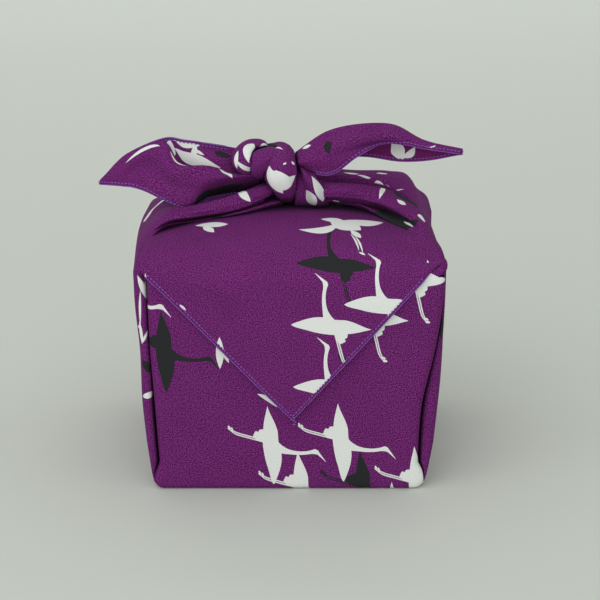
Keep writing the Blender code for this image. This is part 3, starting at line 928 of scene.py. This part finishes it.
def crane_group():
    """Mask of one flying crane: body between two curves, wings between two more, and two thin legs."""
    tree, n, given, out = group(
        "crane_print", [("Vector", "NodeSocketVector", None)], [("Mask", "NodeSocketFloat")]
    )
    place = n.add("ShaderNodeSeparateXYZ", {"Vector": given["Vector"]})
    u, v = place.outputs[0], place.outputs[1]
    along = n.math("ADD", u, BODY_BACK)
    height = n.math("MULTIPLY_ADD", v, 1 / BODY_SPAN, -BODY_LOW / BODY_SPAN)

    def edge(at, places, values, low, span):
        return n.curve(at, zip(places, (values - low) / span))

    upper = edge(along, BODY_LINE["along"], BODY_LINE["upper"], BODY_LOW, BODY_SPAN)
    lower = edge(along, BODY_LINE["along"], BODY_LINE["lower"], BODY_LOW, BODY_SPAN)
    body = n.between(height, lower, upper)
    body = n.math("MULTIPLY", body, n.between(along, BODY_START, BODY_END))

    middle = edge(along, LEG_LINE["along"], LEG_LINE["middle"], BODY_LOW, BODY_SPAN)
    off = n.math("SUBTRACT", height, middle)
    apart = n.math("ABSOLUTE", n.math("SUBTRACT", n.math("ABSOLUTE", off), LEG_APART))
    legs = n.math("MULTIPLY", n.math("LESS_THAN", apart, LEG_HALF), n.between(along, 0.0, LEG_ROOT))
    toes = n.math("MULTIPLY", n.between(off, -0.02, 0.06), n.between(along, 0.034, 0.052))
    ends = n.math("MULTIPLY", n.between(off, -0.03, 0.05), n.between(along, 0.004, 0.024))
    toes = n.math("MAXIMUM", toes, ends)

    reach = n.math("MULTIPLY_ADD", v, 1 / WING_REACH, -WING_LOW / WING_REACH)
    depth = n.math("MULTIPLY_ADD", u, 1 / WING_SPAN, -WING_BACK / WING_SPAN)
    places = (WING_LINE["across"] - WING_LOW) / WING_REACH
    back = edge(reach, places, WING_LINE["back"], WING_BACK, WING_SPAN)
    front = edge(reach, places, WING_LINE["front"], WING_BACK, WING_SPAN)
    wings = n.math("MULTIPLY", n.between(depth, back, front), n.between(v, *WING_TIPS))
    n.put(out["Mask"], n.most([body, legs, toes, wings]))
    return tree


def feather_group():
    """Mask of a leaf along u, one long and one wide.

    Its middle line bends as a parabola, one end may lean wider, and its ends may grow blunt.
    """
    tree, n, given, out = group(
        "feather_print",
        [
            ("Vector", "NodeSocketVector", None),
            ("Bend", "NodeSocketFloat", 0.0),
            ("Lean", "NodeSocketFloat", 0.0),
            ("Blunt", "NodeSocketFloat", 1.0),
        ],
        [("Mask", "NodeSocketFloat")],
    )
    place = n.add("ShaderNodeSeparateXYZ", {"Vector": given["Vector"]})
    u, v = place.outputs[0], place.outputs[1]
    square = n.math("MULTIPLY", n.math("MULTIPLY", u, u), 4.0)
    middle = n.math("MULTIPLY", n.math("SUBTRACT", square, 0.5), given["Bend"])
    off = n.math("ABSOLUTE", n.math("SUBTRACT", v, middle))
    full = n.math("MAXIMUM", n.math("MULTIPLY_ADD", u, given["Lean"], 0.5), 0.0)
    ends = n.math("SUBTRACT", 1.0, n.math("POWER", square, given["Blunt"]))
    width = n.math("MULTIPLY", ends, full)
    n.put(out["Mask"], n.math("LESS_THAN", off, width))
    return tree


def crepe_group():
    """Grain of the crepe: a fine uneven pebble for height and tone, and a slow drift of tone."""
    tree, n, given, out = group(
        "crepe_grain",
        [("Vector", "NodeSocketVector", None)],
        [("Height", "NodeSocketFloat"), ("Grain", "NodeSocketFloat"), ("Drift", "NodeSocketFloat")],
    )
    fine = n.noise(given["Vector"], 3400.0, 1.0, 0.6)
    pebble = n.noise(given["Vector"], 2000.0, 1.0, 0.5)
    both = n.math("MULTIPLY_ADD", fine, 0.45, n.math("MULTIPLY", pebble, 0.55))
    n.put(out["Height"], both)
    grain = n.add("ShaderNodeMapRange", {"Value": both, "From Min": GRAIN_LOW, "From Max": GRAIN_HIGH})
    n.put(out["Grain"], grain.outputs[0])
    n.put(out["Drift"], n.noise(given["Vector"], 55.0, 3.0, 0.55))
    return tree


PURPLE_DARK = (0.041, 0.0030, 0.041, 1)
PURPLE_LIGHT = (0.217, 0.0325, 0.211, 1)
PAPER_WHITE = (0.66, 0.675, 0.65, 1)
# Dark marks: mostly ink print, and in the hollows under the tails also painted shade.
INK_AND_PAINTED_SHADE = (0.016, 0.020, 0.019, 1)
REVERSE_TINT = (0.125, 0.010, 0.080, 1)
# Near black purple for the painted shade in nooks and creases.
PAINTED_SHADE_TONE = (0.006, 0.003, 0.007, 1)
THREAD_VIOLET = (0.24, 0.10, 0.50, 1)
BACKDROP_TONE = (0.525, 0.54, 0.505, 1)
# Painted shade in nooks and creases: how far the ambient occlusion looks, and the open shares of sky at
# which the painted darkening starts and is full.
PAINTED_SHADE_REACH, PAINTED_SHADE_OPEN, PAINTED_SHADE_CLOSED = 12, 0.62, 0.12
# How fully the dark marks, ink print and painted shade, and the white marks cover the crepe.
INK_AND_SHADE_COVER, WHITE_COVER, WHITE_COVER_BACK = 0.97, 0.89, 0.86
GRAIN_HEIGHT = 0.3
GRAIN_LOW, GRAIN_HIGH = 0.462, 0.538


def stamped(n, flat, prints):
    """The masks of a region's print, by tone, white or dark, where some dark marks are painted shade: each
    row is one stamp, placed on the flat cloth.
    """
    masks = {"white": [], "dark": []}
    for kind, mark_tone, rows in prints:
        for u, v, angle, length, width, *shape in rows:
            inputs = {
                "Vector": flat,
                "Location": (u * MM, v * MM, 0),
                "Rotation": (0, 0, math.radians(angle)),
                "Scale": (length * MM, width * MM, 1),
            }
            place = n.add("ShaderNodeMapping", inputs, vector_type="TEXTURE").outputs[0]
            tree = bpy.data.node_groups[kind]
            inputs = {"Vector": place, **dict(zip(("Bend", "Lean", "Blunt"), shape))}
            masks[mark_tone].append(n.add("ShaderNodeGroup", inputs, node_tree=tree).outputs[0])
    return masks


def new_finish(name):
    """A material and its emptied node tree."""
    material = bpy.data.materials.new(name)
    material.use_nodes = True
    return material, Nodes(material.node_tree)


def crepe_finish(name, prints, reverse=False):
    """Purple crepe with its print; the reverse is duller and redder and shows the same print.
    Nooks and creases get painted shade: the colour darkens where ambient occlusion finds little open sky.
    """
    material, n = new_finish(name)
    flat = n.add("ShaderNodeUVMap", uv_map="print").outputs[0]
    grain = n.add("ShaderNodeGroup", node_tree=bpy.data.node_groups["crepe_grain"])
    n.put(grain.inputs["Vector"], flat)
    tone = n.mix(grain.outputs["Grain"], PURPLE_DARK, PURPLE_LIGHT)
    tone = n.mix(n.math("MULTIPLY", grain.outputs["Drift"], 0.30), tone, PURPLE_DARK)
    if reverse:
        tone = n.mix(0.6, tone, REVERSE_TINT)
    masks = stamped(n, flat, prints)
    # Dark marks over the crepe: ink print, and painted shade in the hollows under the tails.
    if masks["dark"]:
        tone = n.mix(n.math("MULTIPLY", n.most(masks["dark"]), INK_AND_SHADE_COVER), tone, INK_AND_PAINTED_SHADE)
    if masks["white"]:
        cover = WHITE_COVER_BACK if reverse else WHITE_COVER
        worn = n.math("MULTIPLY_ADD", grain.outputs["Grain"], 0.10, cover)
        tone = n.mix(n.math("MULTIPLY", n.most(masks["white"]), worn), tone, PAPER_WHITE)
    # Painted shade: the colour is darkened towards near black in nooks and creases found by ambient
    # occlusion.
    painted_shade = n.add("ShaderNodeAmbientOcclusion", {"Distance": PAINTED_SHADE_REACH * MM}, samples=12, only_local=True)
    painted_shade = {"Value": painted_shade.outputs["AO"], "From Min": PAINTED_SHADE_OPEN, "From Max": PAINTED_SHADE_CLOSED}
    painted_shade = n.add("ShaderNodeMapRange", painted_shade).outputs[0]
    tone = n.mix(n.math("MULTIPLY", painted_shade, 0.9), tone, PAINTED_SHADE_TONE)
    bump = {"Height": grain.outputs["Height"], "Strength": 0.4, "Distance": GRAIN_HEIGHT * MM}
    bump = n.add("ShaderNodeBump", bump).outputs[0]
    shader = n.add("ShaderNodeBsdfPrincipled", {"Base Color": tone, "Normal": bump})
    shader.inputs["Roughness"].default_value = 0.88
    shader.inputs["Specular IOR Level"].default_value = 0.07
    shader.inputs["Sheen Weight"].default_value = 0.01
    shader.inputs["Sheen Roughness"].default_value = 0.4
    n.add("ShaderNodeOutputMaterial", {"Surface": shader.outputs[0]})
    return material


def thread_finish(name, colour):
    """Twisted sewing thread: fine slanting bands of tone on the colour."""
    material, n = new_finish(name)
    place = n.add("ShaderNodeTexCoord").outputs["Object"]
    wave = n.add("ShaderNodeTexWave", {"Vector": place, "Scale": 900.0, "Distortion": 1.5})
    dark = tuple(0.6 * c for c in colour[:3]) + (1,)
    tone = n.mix(wave.outputs["Fac"], dark, colour)
    shader = n.add("ShaderNodeBsdfPrincipled", {"Base Color": tone})
    shader.inputs["Roughness"].default_value = 0.6
    n.add("ShaderNodeOutputMaterial", {"Surface": shader.outputs[0]})
    return material


# ---------------------------------------------------------------- the print

# The print of each region of the cloth, by kind and tone. Most dark marks are ink print; the dark leaves on
# the strands and the two wide ones on the left tail lie in the hollows under the tails and are painted
# shade, on the strands partly ink print. A crane's row is u, v, angle of flight, length and width, with a
# width or length below zero to mirror it. A leaf's row is u, v, angle, length and width, then bend, lean and
# blunt where they aren't 0,
# 0 and 1. The leaves' rows were worked out by a helper program, from places chosen by eye.
PRINTS = {
    "walls": (
        ("crane_print", "white", [
            (-8.7, 24.3, 0, 44.5, 48), (22.7, 25.6, 0, 44.5, 48), (4.5, 2.3, 0, 44.5, 48),
            (56.8, 4.7, 0, 44.5, 48), (46.7, -12.5, 0, 44.5, 48), (-77.3, 92.3, 0, 44.5, 48),
            (55.1, 99.2, 90, 48, -44.5), (36.9, 81.4, 90, 48, -44.5), (292, 38, 0, 44.5, 48),
            (-306, 57, 0, 44.5, 48), (584, 62, 0, 44.5, 48), (614, 36, 0, 44.5, 48),
        ]),
        ("crane_print", "dark", [
            (32.5, 2.8, 0, 44.5, 48), (-55.9, 68.2, 0, 44.5, 48), (318, 63, 0, 44.5, 48),
            (-286, 22, 0, 44.5, 48), (578, 22, 0, 44.5, 48),
        ]),
        ("feather_print", "white", [
            (-242.1, 85.2, -93, 16.5, -1), (-242.7, 73.7, -89, 10.7, -1.5),
            (-241.2, 71.6, 60, 6.9, -1.2), (-243.4, 76.1, -36, 2.3, -1.3),
            (-240.6, 94.2, -70, 12.7, -2.4), (-238.7, 94.9, -84, 11.8, -2.1),
            (-241, 44.4, 18, 7, -2.8), (-30.8, 65.3, -89, 14.9, -3.5), (-28.3, 63.9, -64, 7.2, -1.8),
            (-9.5, 43.6, -35, 10.9, -2.1, 0.4),
        ]),
        ("feather_print", "dark", [
            (-241.5, 58, -66, 7, -3.2), (246.5, 75.6, -87, 13.7, -1.8),
        ]),
    ),
    "flap": (
        ("crane_print", "white", [
            (20.6, 156.7, -90, 50, 44.5), (43.6, 146, -90, 50, 44.5), (21.9, 189.6, -90, 50, 44.5),
        ]),
        ("crane_print", "dark", [
            (22.3, 125.1, -90, 48, 44.5),
        ]),
        ("feather_print", "white", [
            (-35.7, 91.3, 6, 14.9, 5.9), (-37, 96.2, 47, 7.2, 4.1), (-62.8, 135.5, 83, 11.9, 1.5),
            (-47.1, 147, 48, 4.2, 1.2), (-30.8, 170.6, 89, 16.7, 3.5),
            (13.2, 98.2, -23, 19.7, 5.9, -0.75), (19.8, 89.3, 21, 12.6, 6, 0.3),
            (24.5, 93.6, 36, 16.5, 11.9), (32.9, 87.9, -8, 18.8, 8.2, -0.3),
            (28.2, 109.5, 76, 14.3, 0.9, 0.5), (29.9, 111, 76, 14.2, 0.9, 0.5),
            (31.1, 118, 33, 3.4, 1.1), (28.7, 102.8, 60, 8.4, 3.3),
        ]),
        ("feather_print", "dark", [
            (24.2, 173.6, 44, 9.3, 2.4),
        ]),
    ),
    "strands": (
        ("feather_print", "white", [
            (24, 66.5, 147, 11.4, 3.1, 0, -0.3), (56.1, 64.7, 133, 15.4, 1.8),
            (612, 11.5, 7, 13.4, -5.5, 0, 0.4), (616.5, 5.8, 29, 9.4, -6),
            (307.9, 71.7, -103, 5.7, -2), (344.8, 59.4, -59, 7.9, -2.2), (345.5, 53.9, -72, 6.6, -1.9),
            (357, 45.6, -52, 7.1, -1.4), (347, 46.2, -73, 6.5, -2.2, 0.4),
            (326.9, 46.6, 169, 12.3, -2.2), (321.8, 36.5, -127, 6, -2.5),
            (349.1, 38.2, -92, 11.4, -0.6), (312.6, 25, -73, 5.8, -4.2),
            (297.7, 44.8, -104, 2.8, -2.5), (301.1, 37.9, -94, 2.3, -0.6),
            (304.9, 31.3, -127, 6.4, -2.5), (53.4, 16.3, 15, 11, 7.3), (54.1, 21.7, 125, 9, 7),
        ]),
        # Dark leaves in the hollows under the tails: partly ink print, partly painted shade; the three large
        # ones darken the right strand's pocket.
        ("feather_print", "dark", [
            (327.2, 34.5, -122, 20.3, -7.1, 0.3), (302.9, 41.7, -75, 32, -13.8, -0.2),
            (307.3, 39.9, -74, 18.1, -14.1), (42.8, 27, 151, 14.9, 4.2),
            (6.2, 55.6, 64, 13.5, 2.5, 0.1),
        ]),
    ),
    "tails": (
        ("feather_print", "white", [
            (56.5, 13.6, 165, 14.7, 2.5, 0.4), (47.1, 28.4, -85, 8.9, 6),
            (36.2, 35.7, 173, 19.7, 3.7, 0.2), (30, 33.1, -73, 8.4, 3.3), (27.4, 33.5, -159, 6.6, 1.5),
            (30.4, 28.9, -173, 28.4, 5.7, 0.3), (36.9, 16.6, -171, 12.3, 1.5, 0.5),
            (15.7, 14.6, -146, 11.1, 2.1), (305.9, 10.4, -13, 4.5, -1.8),
            (347.8, 26.8, 104, 9.5, 6.5, 0, 0, 4), (353.9, 25, -50, 14.2, 2.4, -0.4),
            (360.9, 6.3, 28, 13.3, -1.3, -0.6),
        ]),
        # The last two dark leaves, wide and along the left tail's under-roll, are painted shade in the
        # valley under the tail; the first two are ink print.
        ("feather_print", "dark", [
            (14.7, 32.2, -155, 9.7, 2.8), (315.9, 3.5, -97, 5.9, -3.9, 0, -0.6),
            (24.8, -1.4, 157, 15.2, 6.3, 0.1), (15.2, -0.1, 142, 20.5, 5.8, 0.1),
        ]),
    ),
    "knot": (
        ("feather_print", "white", [
            (225.9, 4, -12, 8.6, -2.3), (231.9, 6.3, 18, 12.6, -2.5, 0.5),
            (221.2, 9.5, 1, 15.8, -4.9, 0, -0.6), (206.2, 11, -160, 9.1, -1.3),
            (112, 4.2, 67, 5.8, -1), (129.1, 5.6, 11, 13.7, -5.3), (128.3, 7.3, 27, 9.6, -6.3),
            (130.9, 11.5, 116, 12.7, -4.9), (127.6, 11.2, 49, 10.4, -3.4), (120.9, 11.2, 127, 1.7, -1),
            (119.3, 15.1, 46, 2.8, -1.3),
        ]),
        ("feather_print", "dark", [
            (307.7, 10.9, -150, 9.3, -2.6),
        ]),
    ),
}
# Where each piece's print coordinates start, so that one piece's marks don't show on another.
PRINT_SHIFT = {"left": 0, "right": 300, "strip": 600}

crane_group()
feather_group()
crepe_group()
FINISHES = []
for region, prints in PRINTS.items():
    FINISHES.append(crepe_finish(f"crepe_{region}", prints))
    FINISHES.append(crepe_finish(f"crepe_{region}_reverse", prints, reverse=True))
WALLS_FINISH, FLAP_FINISH, STRAND_FINISH, TAIL_FINISH, KNOT_FINISH = range(0, 10, 2)

# ---------------------------------------------------------------- the cloth

INNER_LAYERS = (0.07, 0.14, 0.21)  # how far each inner layer of a strand is drawn in
KNOT_PRINT_STEP = 100  # between the print coordinates of one turn of the knot and the next

sheet = Patchwork()
wall_grid, wall_prints = walls()
top = at_height(section(WALL_TOP), WALL_TOP)
sheet.add(settle(wall_grid), wall_prints, WALLS_FINISH)
under_grid, under_prints = bottom(wall_grid[0])
sheet.add(under_grid, under_prints, WALLS_FINISH, flip=True)

near_grid, prints = near_corner(columns_of_panel(top, "front"))
sheet.add(settle(near_grid), prints, WALLS_FINISH)
for wing, prints in hidden_wings(near_grid, start=3, stop=24, drop=0.8):
    sheet.add(settle(wing), prints, WALLS_FINISH)
flap_grid, flap_prints = far_corner(columns_of_panel(top, "back"))
for wing, prints in hidden_wings(flap_grid, start=8, stop=57, drop=1.0):
    sheet.add(settle(wing), prints, FLAP_FINISH)
panel_edges = {
    (end, side): grid[:rows, column]
    for end, grid, rows in (("front", near_grid, NEAR_EDGE_ROWS), ("back", flap_grid, FAR_EDGE_ROWS))
    for side, column in (("right", -1), ("left", 0))
}
flap_grid = creased(settle(flap_grid), flap_prints, FLAP_CREASES)
sheet.add(flap_grid, flap_prints, FLAP_FINISH, flip=True)

for side, folds in (("right", RIGHT_FOLDS), ("left", LEFT_FOLDS)):
    grid, prints = gathered_side(columns_of_side(top, side), folds)
    for end, column in (("front", 0), ("back", -1)):
        patch, patch_prints, turned_in = gusset(panel_edges[end, side], grid[:SIDE_EDGE_ROWS, column])
        sheet.add(settle(patch), patch_prints, WALLS_FINISH, flip=bool(turned_in))
    grid = settle(grid)
    grid = grid + normals_of(grid) * gathers(grid, prints)[..., None]
    prints[..., 0] += PRINT_SHIFT[side]
    sheet.add(grid, prints, STRAND_FINISH, flip=side == "left")
    for inset in INNER_LAYERS:
        layer, layer_prints = inner_folds(grid, prints, inset)
        sheet.add(layer, layer_prints, STRAND_FINISH, flip=side == "left")

tails = {}
for name, lines in (("left", LEFT_TAIL), ("right", RIGHT_TAIL)):
    grid, prints = tail(lines, TAIL_STATIONS, wide=36, long=60)
    tails[name] = creased(settle(grid), prints, TAIL_CREASES[name])
    prints[..., 0] += PRINT_SHIFT[name]
    sheet.add(tails[name], prints, TAIL_FINISH, flip=name == "right")

strip, prints = tail(STRIP, STRIP_STATIONS, wide=20, long=36)
prints[..., 0] += PRINT_SHIFT["strip"]
sheet.add(strip, prints, STRAND_FINISH, flip=True)

cloth = placed("wrap_cloth_folds", sheet.mesh("wrap_cloth_folds", FINISHES))
solid = cloth.modifiers.new("thickness", "SOLIDIFY")
solid.thickness = CLOTH * MM
solid.offset = 0
solid.material_offset = 1
bake_modifiers(cloth)

lumps = Patchwork()
for i, (centre, folds, path) in enumerate(KNOT_TURNS.values()):
    grid, prints = gathered_turn(path, centre, folds)
    prints[..., 0] += KNOT_PRINT_STEP * i
    lumps.add(settle(grid), prints, KNOT_FINISH, flip=True)
joined(cloth, placed("knot_turns", lumps.mesh("knot_turns", FINISHES)))


# ---------------------------------------------------------------- hems and stitches

HEM_WIDTH, HEM_DEPTH = 0.72, 0.42  # half sizes of the rolled hem
HEM_STEP = 1.4
TAIL_HEM_START = 8  # the row of a tail's grid where it leaves the knot
STITCH_RADIUS = 0.22
# Rows of stitches: inset from the edge, lift off the cloth, pitch and length.
STITCH_ROWS = (
    (0.05, 0.32, 1.15, 1.0),
    (0.05, -0.32, 1.15, 1.0),
    (1.25, 0.34, 1.75, 1.25),
    (1.25, -0.34, 1.75, 1.25),
)


def edge_frames(edge, inner):
    """Unit vectors along an edge, inward across the cloth, and off its face."""
    along = np.gradient(edge, axis=0)
    along /= np.maximum(np.linalg.norm(along, axis=1, keepdims=True), 1e-9)
    inward = inner - edge
    inward -= (inward * along).sum(axis=1, keepdims=True) * along
    inward /= np.maximum(np.linalg.norm(inward, axis=1, keepdims=True), 1e-9)
    return along, inward, np.cross(along, inward)


def round_the_tip(grid):
    """One edge of a grid out to its tip and the other back again, and the same of the points inside."""
    columns = (0, -1), (2, -3)
    return [np.concatenate([grid[:, first], grid[::-1, second][1:]]) for first, second in columns]


def evened(edge, inner, pitch):
    """An edge and its inner line read at even distances."""
    length = np.concatenate([[0], np.cumsum(np.linalg.norm(np.diff(edge, axis=0), axis=1))])
    read = np.arange(0, length[-1], pitch)
    return [
        np.stack([np.interp(read, length, points[:, i]) for i in range(3)], axis=1)
        for points in (edge, inner)
    ]


def hem_tube(edge, inner, around=10):
    """Flattened tube along an edge: the ellipse of the rolled hem in the cloth's own plane."""
    edge, inner = evened(edge, inner, HEM_STEP)
    along, inward, off = edge_frames(edge, inner)
    angles = np.linspace(0, 2 * math.pi, around + 1)
    wobble = 1 + 0.10 * np.sin(np.arange(len(edge)) * 0.9) + 0.06 * np.sin(np.arange(len(edge)) * 2.3)
    grid = (
        (edge + inward * HEM_WIDTH * 0.6)[:, None]
        + (HEM_WIDTH * np.cos(angles))[None, :, None] * inward[:, None]
        + (HEM_DEPTH * wobble[:, None] * np.sin(angles))[..., None] * off[:, None]
    )
    u = np.broadcast_to((np.arange(len(edge)) * HEM_STEP)[:, None], grid.shape[:2])
    return grid, np.stack([u, np.broadcast_to(angles, u.shape)], axis=-1)


def stitch_grids(edge, inner, inset, lift, pitch, length):
    """Short spindles of thread along a hem, as one stack of small grids."""
    edge, inner = evened(edge, inner, pitch)
    along, inward, off = edge_frames(edge, inner)
    shares = np.linspace(-1, 1, 5)
    radii = STITCH_RADIUS * np.sqrt(np.clip(1.04 - shares**2, 0.03, 1))
    angles = np.linspace(0, 2 * math.pi, 7)
    centre = edge + inward * inset + off * lift
    grid = (
        centre[:, None, None]
        + (shares * length / 2)[None, :, None, None] * along[:, None, None]
        + (radii[:, None] * np.cos(angles))[None, ..., None] * inward[:, None, None]
        + (radii[:, None] * np.sin(angles))[None, ..., None] * off[:, None, None]
    )
    return grid


flap_start = int(np.argmax(flap_grid[:, 0, 1] < -PANEL_Y - 0.4))
hems, stitches = Patchwork(), Patchwork()
for hemmed in (flap_grid[flap_start:], tails["left"][TAIL_HEM_START:], tails["right"][TAIL_HEM_START:]):
    edge, inner = round_the_tip(hemmed)
    grid, prints = hem_tube(edge, inner)
    hems.add(grid, prints, 0)
    for inset, lift, pitch, length in STITCH_ROWS:
        for small in stitch_grids(edge, inner, inset, lift, pitch, length):
            stitches.add(small, np.zeros(small.shape[:2] + (2,)), 0)

hem = placed("rolled_hems", hems.mesh("rolled_hems", [crepe_finish("crepe_hem", [])]))
violet = thread_finish("violet_thread", THREAD_VIOLET)
thread = placed("hem_stitches", stitches.mesh("hem_stitches", [violet]))

for piece in (cloth, hem, thread):
    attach(piece, "root")
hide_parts("wrap_cloth")


# ---------------------------------------------------------------- floor, light and camera


def backdrop():
    """Pale seamless sheet: flat under the wrap, rising behind it on a wide quarter circle."""
    angles = np.radians(np.linspace(5, 90, 24))
    start, radius = 900, 700
    rise = start + radius * np.sin(angles), radius - radius * np.cos(angles)
    y = np.concatenate([np.linspace(-1500, start, 20), rise[0], np.full(8, start + radius)])
    z = np.concatenate([np.zeros(20), rise[1], np.linspace(radius + 100, 2500, 8)])
    x = np.linspace(-2500, 2500, 12)
    grid = np.stack(np.broadcast_arrays(x[None, :], y[:, None], z[:, None]), axis=-1)
    work = Patchwork()
    work.add(grid, grid[..., :2], 0)
    material = bpy.data.materials.new("pale_backdrop")
    material.use_nodes = True
    shader = material.node_tree.nodes["Principled BSDF"]
    shader.inputs["Base Color"].default_value = BACKDROP_TONE
    shader.inputs["Roughness"].default_value = 0.9
    shader.inputs["Specular IOR Level"].default_value = 0.1
    return placed("backdrop", work.mesh("backdrop", [material]))


backdrop()


def soft_light(name, place, aim, size, power, colour=(1, 1, 1)):
    made = bpy.data.lights.new(name, "AREA")
    made.shape = "RECTANGLE"
    made.size, made.size_y = size
    made.energy = power
    made.color = colour
    lamp = bpy.data.objects.new(name, made)
    lamp.location = place
    lamp.rotation_euler = (Vector(aim) - Vector(place)).to_track_quat("-Z", "Y").to_euler()
    bpy.context.scene.collection.objects.link(lamp)


soft_light("window", (-1.1, -1.25, 1.05), (0, 0, 0.06), (1.8, 1.6), 11.0)
soft_light("overhead", (-0.3, 1.5, 1.5), (-0.2, 2.2, 0), (2.6, 1.0), 16.0)
soft_light("front_fill", (0, -1.9, 0.6), (0, 0, 0.07), (1.9, 1.4), 11.5)
world = bpy.data.worlds.new("studio")
world.use_nodes = True
world.node_tree.nodes["Background"].inputs["Color"].default_value = (0.93, 0.97, 0.94, 1)
world.node_tree.nodes["Background"].inputs["Strength"].default_value = 0.87
bpy.context.scene.world = world

camera = bpy.data.objects.new("camera", bpy.data.cameras.new("camera"))
bpy.context.scene.collection.objects.link(camera)
CAMERA_LENS, CAMERA_SENSOR = 123, 36
CAMERA_TARGET = Vector((0.0045, 0, 0.0708))
CAMERA_RISE, CAMERA_FAR = math.radians(18), 0.96
camera.data.lens = CAMERA_LENS
camera.data.sensor_width = CAMERA_SENSOR
back = Vector((0, -math.cos(CAMERA_RISE), math.sin(CAMERA_RISE)))
camera.location = CAMERA_TARGET + back * CAMERA_FAR
camera.rotation_euler = (-back).to_track_quat("-Z", "Y").to_euler()
bpy.context.scene.camera = camera
bpy.context.scene.view_settings.view_transform = "Standard"
